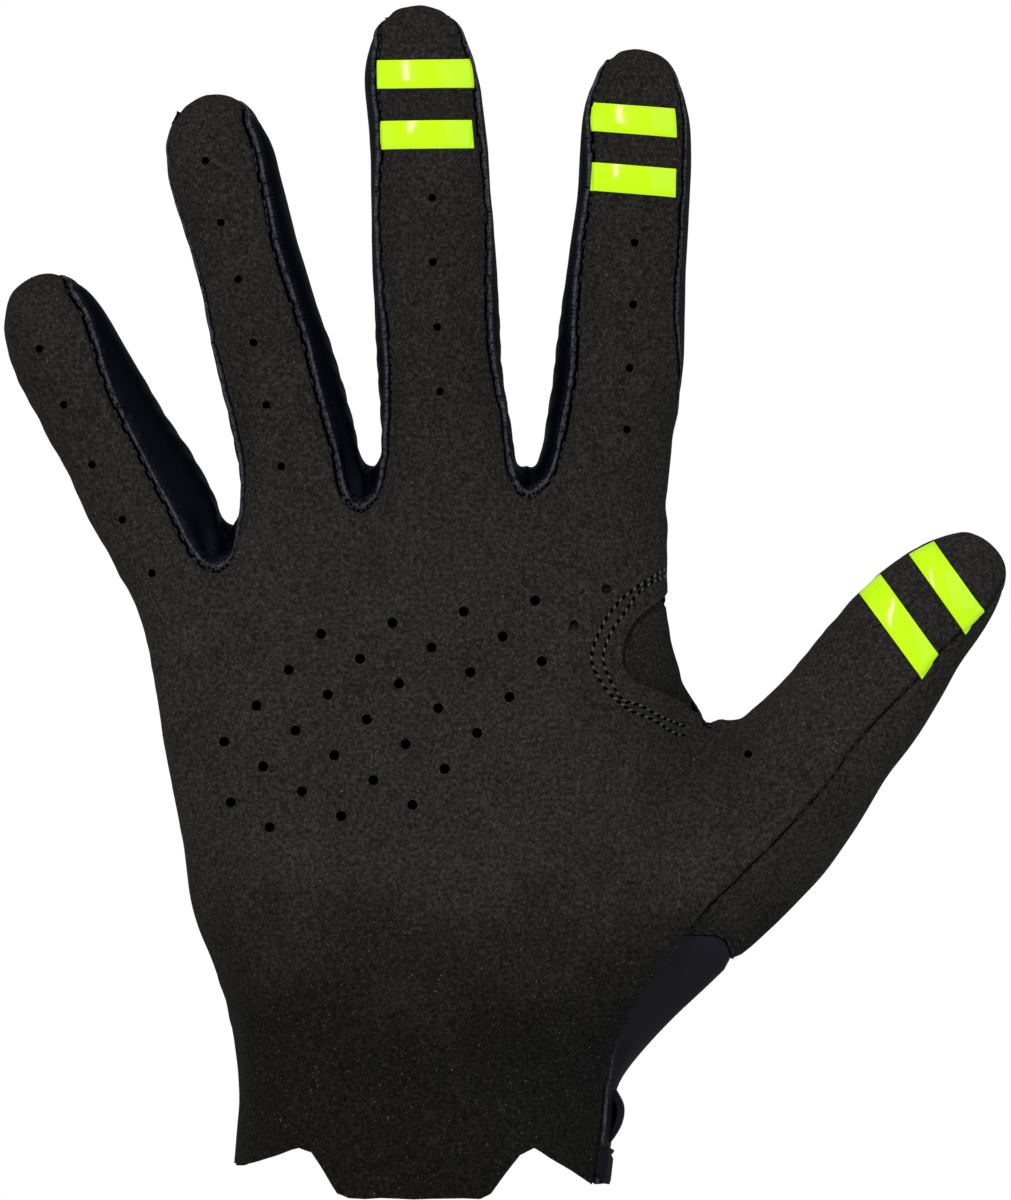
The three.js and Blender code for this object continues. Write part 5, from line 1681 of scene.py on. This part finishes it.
class GLOVE_OT_stitches(bpy.types.Operator):
    """Sew the seams of the fingers and the two rows round the cutout."""
    bl_idname = "glove.stitches"
    bl_label = "Stitches"

    def execute(self, context):
        skin = glove_skin()
        cloth_lines, suede_lines, back_lines = [], [], []
        for pair in sorted(set(map(tuple, skin.seam_panels.tolist()))):
            chosen = (skin.seam_panels == pair).all(axis=1)
            for line in chains(skin.seams[chosen]):
                points = skin.points[line]
                points = points[points[:, 2] > CUFF_SEAM_END[int(points[0, 0] > 0)]]
                if len(points) < SHORTEST_SEAM:
                    continue
                if pair == (PALM, THUMB_BACK):
                    suede_lines.append(points)
                else:
                    (cloth_lines if pair[0] == PALM else back_lines).append(points)
        for (name, sizes), lines in zip(SEAM_THREADS, (cloth_lines, suede_lines, back_lines)):
            sewn(name, lines, *sizes)
        glove = skin.glove
        arcs = []
        for arc in (OUTER_ARC, INNER_ARC):
            line = curved(arc, 8) * (glove.palm_width, glove.palm_length)
            arcs.append([skin.facing(x, z)[0] for x, z in line])
        for name, sizes, shift, finish in CUTOUT_SEWING:
            sewn(name, arcs, *sizes, 0, math.radians(CUTOUT_SLANT), shift, finish)
        return {"FINISHED"}


# Cells of the hem tab across and along, and of the strap across
TAB_CELLS = 20
TAB_ROWS = 16
LOOP_CELLS = 14
# Thickness and swell of the tab over the skin, and the dip of its fold, in mm
TAB_FOOT = 0.1
TAB_BASE = 0.35
TAB_SWELL = 0.75
TAB_DIP = 0.45
# Place and width of the tab's fold, and how far up its lower corners are round, as shares of its height
TAB_FOLD = (0.86, 0.06)
TAB_ROUND = 0.3
# Thickness of the strap over and under its middle line, and its swell, in mm
LOOP_OVER = 0.55
LOOP_UNDER = 0.60
LOOP_SWELL = 0.25
# How far the strap lies behind the middle of the wrist, and the depths of the fold behind it, in mm
LOOP_BACK = 1.0
FOLD_DEPTHS = (2.2, 1.6)
SOFT_BEVEL = 0.2


class GLOVE_OT_hem_tab(bpy.types.Operator):
    """Build the folded tab at the cuff and the small strap over the wrist seam."""
    bl_idname = "glove.hem_tab"
    bl_label = "Hem tab and strap"

    def execute(self, context):
        top, foot = self.tab(glove_skin())
        tab = pad("hem_tab_stretch", top, foot, TAB_ROWS, TAB_CELLS, SOFT_BEVEL)
        finish_piece(tab, material("navy_black_stretch"), ["hem_tab"], 50)
        line = curved(LOOP, 6)
        names = ("wrist_loop_stretch", "wrist_loop_fold_stretch")
        for name, (over, below) in zip(names, self.strap(line)):
            piece = pad(name, over, below, len(line) - 1, LOOP_CELLS, SOFT_BEVEL)
            finish_piece(piece, material("navy_black_stretch"), angle=50)
        return {"FINISHED"}

    def tab(self, skin):
        """Points over and under the tab."""
        first, last, low, high = HEM_TAB
        fold_at, fold_width = TAB_FOLD
        top, foot = [], []
        for share in spread(0, 1, TAB_ROWS):
            # The lower corners are round, and the upper end slants up to the palm
            shrink = 0.5 * (1 - math.sqrt(1 - max(0, 1 - share / TAB_ROUND) ** 2))
            dip = TAB_DIP * math.exp(-((share - fold_at) / fold_width) ** 2)
            for i, turn in enumerate(spread(first, last, TAB_CELLS)):
                u = i / TAB_CELLS
                z = mix(low, high, share) + (1 - u) * 1.1 * share + 0.9 * (1 - u) ** 2 * (1 - share)
                turn = mix(turn, mix(first, last, 0.55), shrink)
                spot, normal = self.side(skin, turn, z)
                edge = 1 - abs(2 * u - 1) ** 6
                top.append(spot + normal * (TAB_BASE + TAB_SWELL * edge - dip))
                foot.append(spot - normal * TAB_FOOT)
        return top, foot

    def strap(self, line):
        """Points over and under the strap, then before and behind the cloth fold inside it."""
        way = np.gradient(line, axis=0)
        way /= np.linalg.norm(way, axis=1)[:, None]
        half = LOOP_DEPTH / 2
        top, foot, front, rear = [], [], [], []
        for (x, z), (way_x, way_z) in zip(line[::-1], way[::-1]):
            for y in spread(-half, half, LOOP_CELLS):
                bulge = LOOP_SWELL * math.cos(y / LOOP_DEPTH * math.pi)
                for side, depth in ((top, LOOP_OVER + bulge), (foot, bulge - LOOP_UNDER)):
                    side.append(np.array((x - way_z * depth, y - LOOP_BACK, z + way_x * depth)))
            for place in spread(LOOP_INSIDE, x, LOOP_CELLS):
                for side, depth in zip((front, rear), FOLD_DEPTHS):
                    side.append(np.array((place, half - depth, z)))
        return (top, foot), (front, rear)

    def side(self, skin, turn, z):
        """The skin at an angle round the wrist and a height, seen from the wrist's middle."""
        angle = math.radians(turn)
        spot, normal, _, _ = skin.tree.ray_cast(
            Vector((0, 0, z)), Vector((math.sin(angle), -math.cos(angle), 0)))
        return np.array(spot), np.array(normal)


# Cells along a fibre, its half width, and its height over the skin with the rise in its middle, in mm
LINT_CELLS = 10
LINT_HALF_WIDTH = 0.055
LINT_HEIGHT = 0.12
LINT_RISE = 0.1


class GLOVE_OT_lint(bpy.types.Operator):
    """Lay a few loose fibres on the palm."""
    bl_idname = "glove.lint"
    bl_label = "Loose fibres"

    def execute(self, context):
        skin = glove_skin()
        points, faces = [], []
        for x0, z0, x1, z1, bend in LINT:
            along = np.array((x1 - x0, z1 - z0))
            side = np.array((-along[1], along[0])) / np.linalg.norm(along)
            for t in spread(0, 1, LINT_CELLS):
                x, z = np.array((x0, z0)) + along * t + side * bend * math.sin(2.8 * t)
                spot, normal = skin.facing(x, z)
                spot = spot + normal * (LINT_HEIGHT + LINT_RISE * math.sin(5 * t))
                across = unit(np.cross(normal, (along[0], 0.0, along[1])))
                base = len(points)
                thick = LINT_HALF_WIDTH * (1 - 0.6 * abs(2 * t - 1) ** 3)
                points += [spot + across * thick, spot + normal * thick * 1.6, spot - across * thick]
                if t:
                    for i, onward in ((0, 1), (1, 2), (2, 0)):
                        faces.append([base - 3 + i, base - 3 + onward, base + onward, base + i])
            faces += [[base + i for i in range(3)], [base - 3 * LINT_CELLS + i for i in (2, 1, 0)]]
        piece = new_piece("lint_fibres", points, faces)
        turn_faces_out(piece)
        finish_piece(piece, material("pale_lint"), angle=80)
        return {"FINISHED"}


# Stage

CAMERA_AWAY = 4.0
VIEW_HEIGHT = 0.21176
VIEW_CENTRE = (0.01438, 0.0988)
LIGHT_TARGET = (0.01, 0, 0.10)
# Columns: name, place, width and height in m, power in W, colour
LIGHTS = (
    ("key_light", (-0.30, -0.95, 0.62), 0.14, 0.9, 5.5, (1, 0.985, 0.96)),
    ("side_light", (0.80, -0.75, 0.45), 1.2, 1.2, 3.8, (0.95, 0.97, 1)),
    ("fill_light", (-0.95, -0.40, 0.12), 0.8, 0.8, 1.3, (1, 0.985, 0.97)),
)


def soft_light(name, place, width, height, power, colour):
    bpy.ops.object.light_add(type="AREA", location=place)
    light = bpy.context.object
    light.name = name
    light.data.shape = "RECTANGLE"
    light.data.size = width
    light.data.size_y = height
    light.data.energy = power
    light.data.color = colour
    light.rotation_euler = (Vector(LIGHT_TARGET) - Vector(place)).to_track_quat("-Z", "Y").to_euler()


class GLOVE_OT_stage(bpy.types.Operator):
    """Set up the pale floor, the soft lights and the camera."""
    bl_idname = "glove.stage"
    bl_label = "Stage"

    def execute(self, context):
        bpy.ops.object.select_all(action="DESELECT")
        bpy.ops.mesh.primitive_circle_add(vertices=96, radius=0.55, fill_type="NGON", location=(0, 0, -0.20))
        floor = context.object
        floor.name = "pale_floor"
        pale = bpy.data.materials.new("pale_paper")
        pale.use_nodes = True
        shader = pale.node_tree.nodes["Principled BSDF"]
        shader.inputs["Base Color"].default_value = (0.80, 0.80, 0.80, 1)
        shader.inputs["Roughness"].default_value = 0.9
        floor.data.materials.append(pale)

        world = bpy.data.worlds.new("studio")
        context.scene.world = world
        world.use_nodes = True
        context.scene.view_settings.view_transform = "Standard"
        tree = world.node_tree
        seen = tree.nodes["Background"]
        seen.inputs["Color"].default_value = (1, 1, 1, 1)
        shed = tree.nodes.new("ShaderNodeBackground")
        shed.inputs["Color"].default_value = (0.97, 0.985, 1, 1)
        shed.inputs["Strength"].default_value = 0.24
        path = tree.nodes.new("ShaderNodeLightPath")
        blend = tree.nodes.new("ShaderNodeMixShader")
        tree.links.new(path.outputs["Is Camera Ray"], blend.inputs["Fac"])
        tree.links.new(shed.outputs[0], blend.inputs[1])
        tree.links.new(seen.outputs[0], blend.inputs[2])
        tree.links.new(blend.outputs[0], tree.nodes["World Output"].inputs["Surface"])

        for light in LIGHTS:
            soft_light(*light)

        bpy.ops.object.camera_add(
            location=(VIEW_CENTRE[0], -CAMERA_AWAY, VIEW_CENTRE[1]), rotation=(math.pi / 2, 0, 0))
        camera = context.object
        camera.data.sensor_fit = "VERTICAL"
        camera.data.sensor_height = 24
        camera.data.lens = 24 * CAMERA_AWAY / VIEW_HEIGHT
        camera.data.clip_end = 20
        context.scene.camera = camera
        return {"FINISHED"}


OPERATORS = (
    GLOVE_OT_palm,
    GLOVE_OT_back,
    GLOVE_OT_thumb_back,
    GLOVE_OT_insert,
    GLOVE_OT_fourchettes,
    GLOVE_OT_stripes,
    GLOVE_OT_stitches,
    GLOVE_OT_hem_tab,
    GLOVE_OT_lint,
    GLOVE_OT_stage,
)


class GLOVE_PT_panel(bpy.types.Panel):
    """Lists the glove's pieces."""
    bl_idname = "GLOVE_PT_panel"
    bl_label = "Cycling glove"
    bl_space_type = "VIEW_3D"
    bl_region_type = "UI"
    bl_category = "Glove"

    def draw(self, context):
        for group in (context.scene.glove_sizes, context.scene.glove_seams, context.scene.glove_colours):
            for name in group.__annotations__:
                self.layout.prop(group, name)
        for operator in OPERATORS:
            self.layout.operator(operator.bl_idname)


GROUPS = (
    ("glove_sizes", GloveSizes),
    ("glove_seams", SeamSizes),
    ("glove_colours", GloveColours),
)


def register():
    for name, group in GROUPS:
        bpy.utils.register_class(group)
        setattr(bpy.types.Scene, name, bpy.props.PointerProperty(type=group))
    for operator in OPERATORS:
        bpy.utils.register_class(operator)
    bpy.utils.register_class(GLOVE_PT_panel)


def unregister():
    bpy.utils.unregister_class(GLOVE_PT_panel)
    for operator in reversed(OPERATORS):
        bpy.utils.unregister_class(operator)
    for name, group in GROUPS:
        delattr(bpy.types.Scene, name)
        bpy.utils.unregister_class(group)


def main():
    register()
    bpy.ops.glove.palm()
    bpy.ops.glove.back()
    bpy.ops.glove.thumb_back()
    bpy.ops.glove.insert()
    bpy.ops.glove.fourchettes()
    bpy.ops.glove.stripes()
    bpy.ops.glove.stitches()
    bpy.ops.glove.hem_tab()
    bpy.ops.glove.lint()
    bpy.ops.glove.stage()


if __name__ == "__main__":
    main()
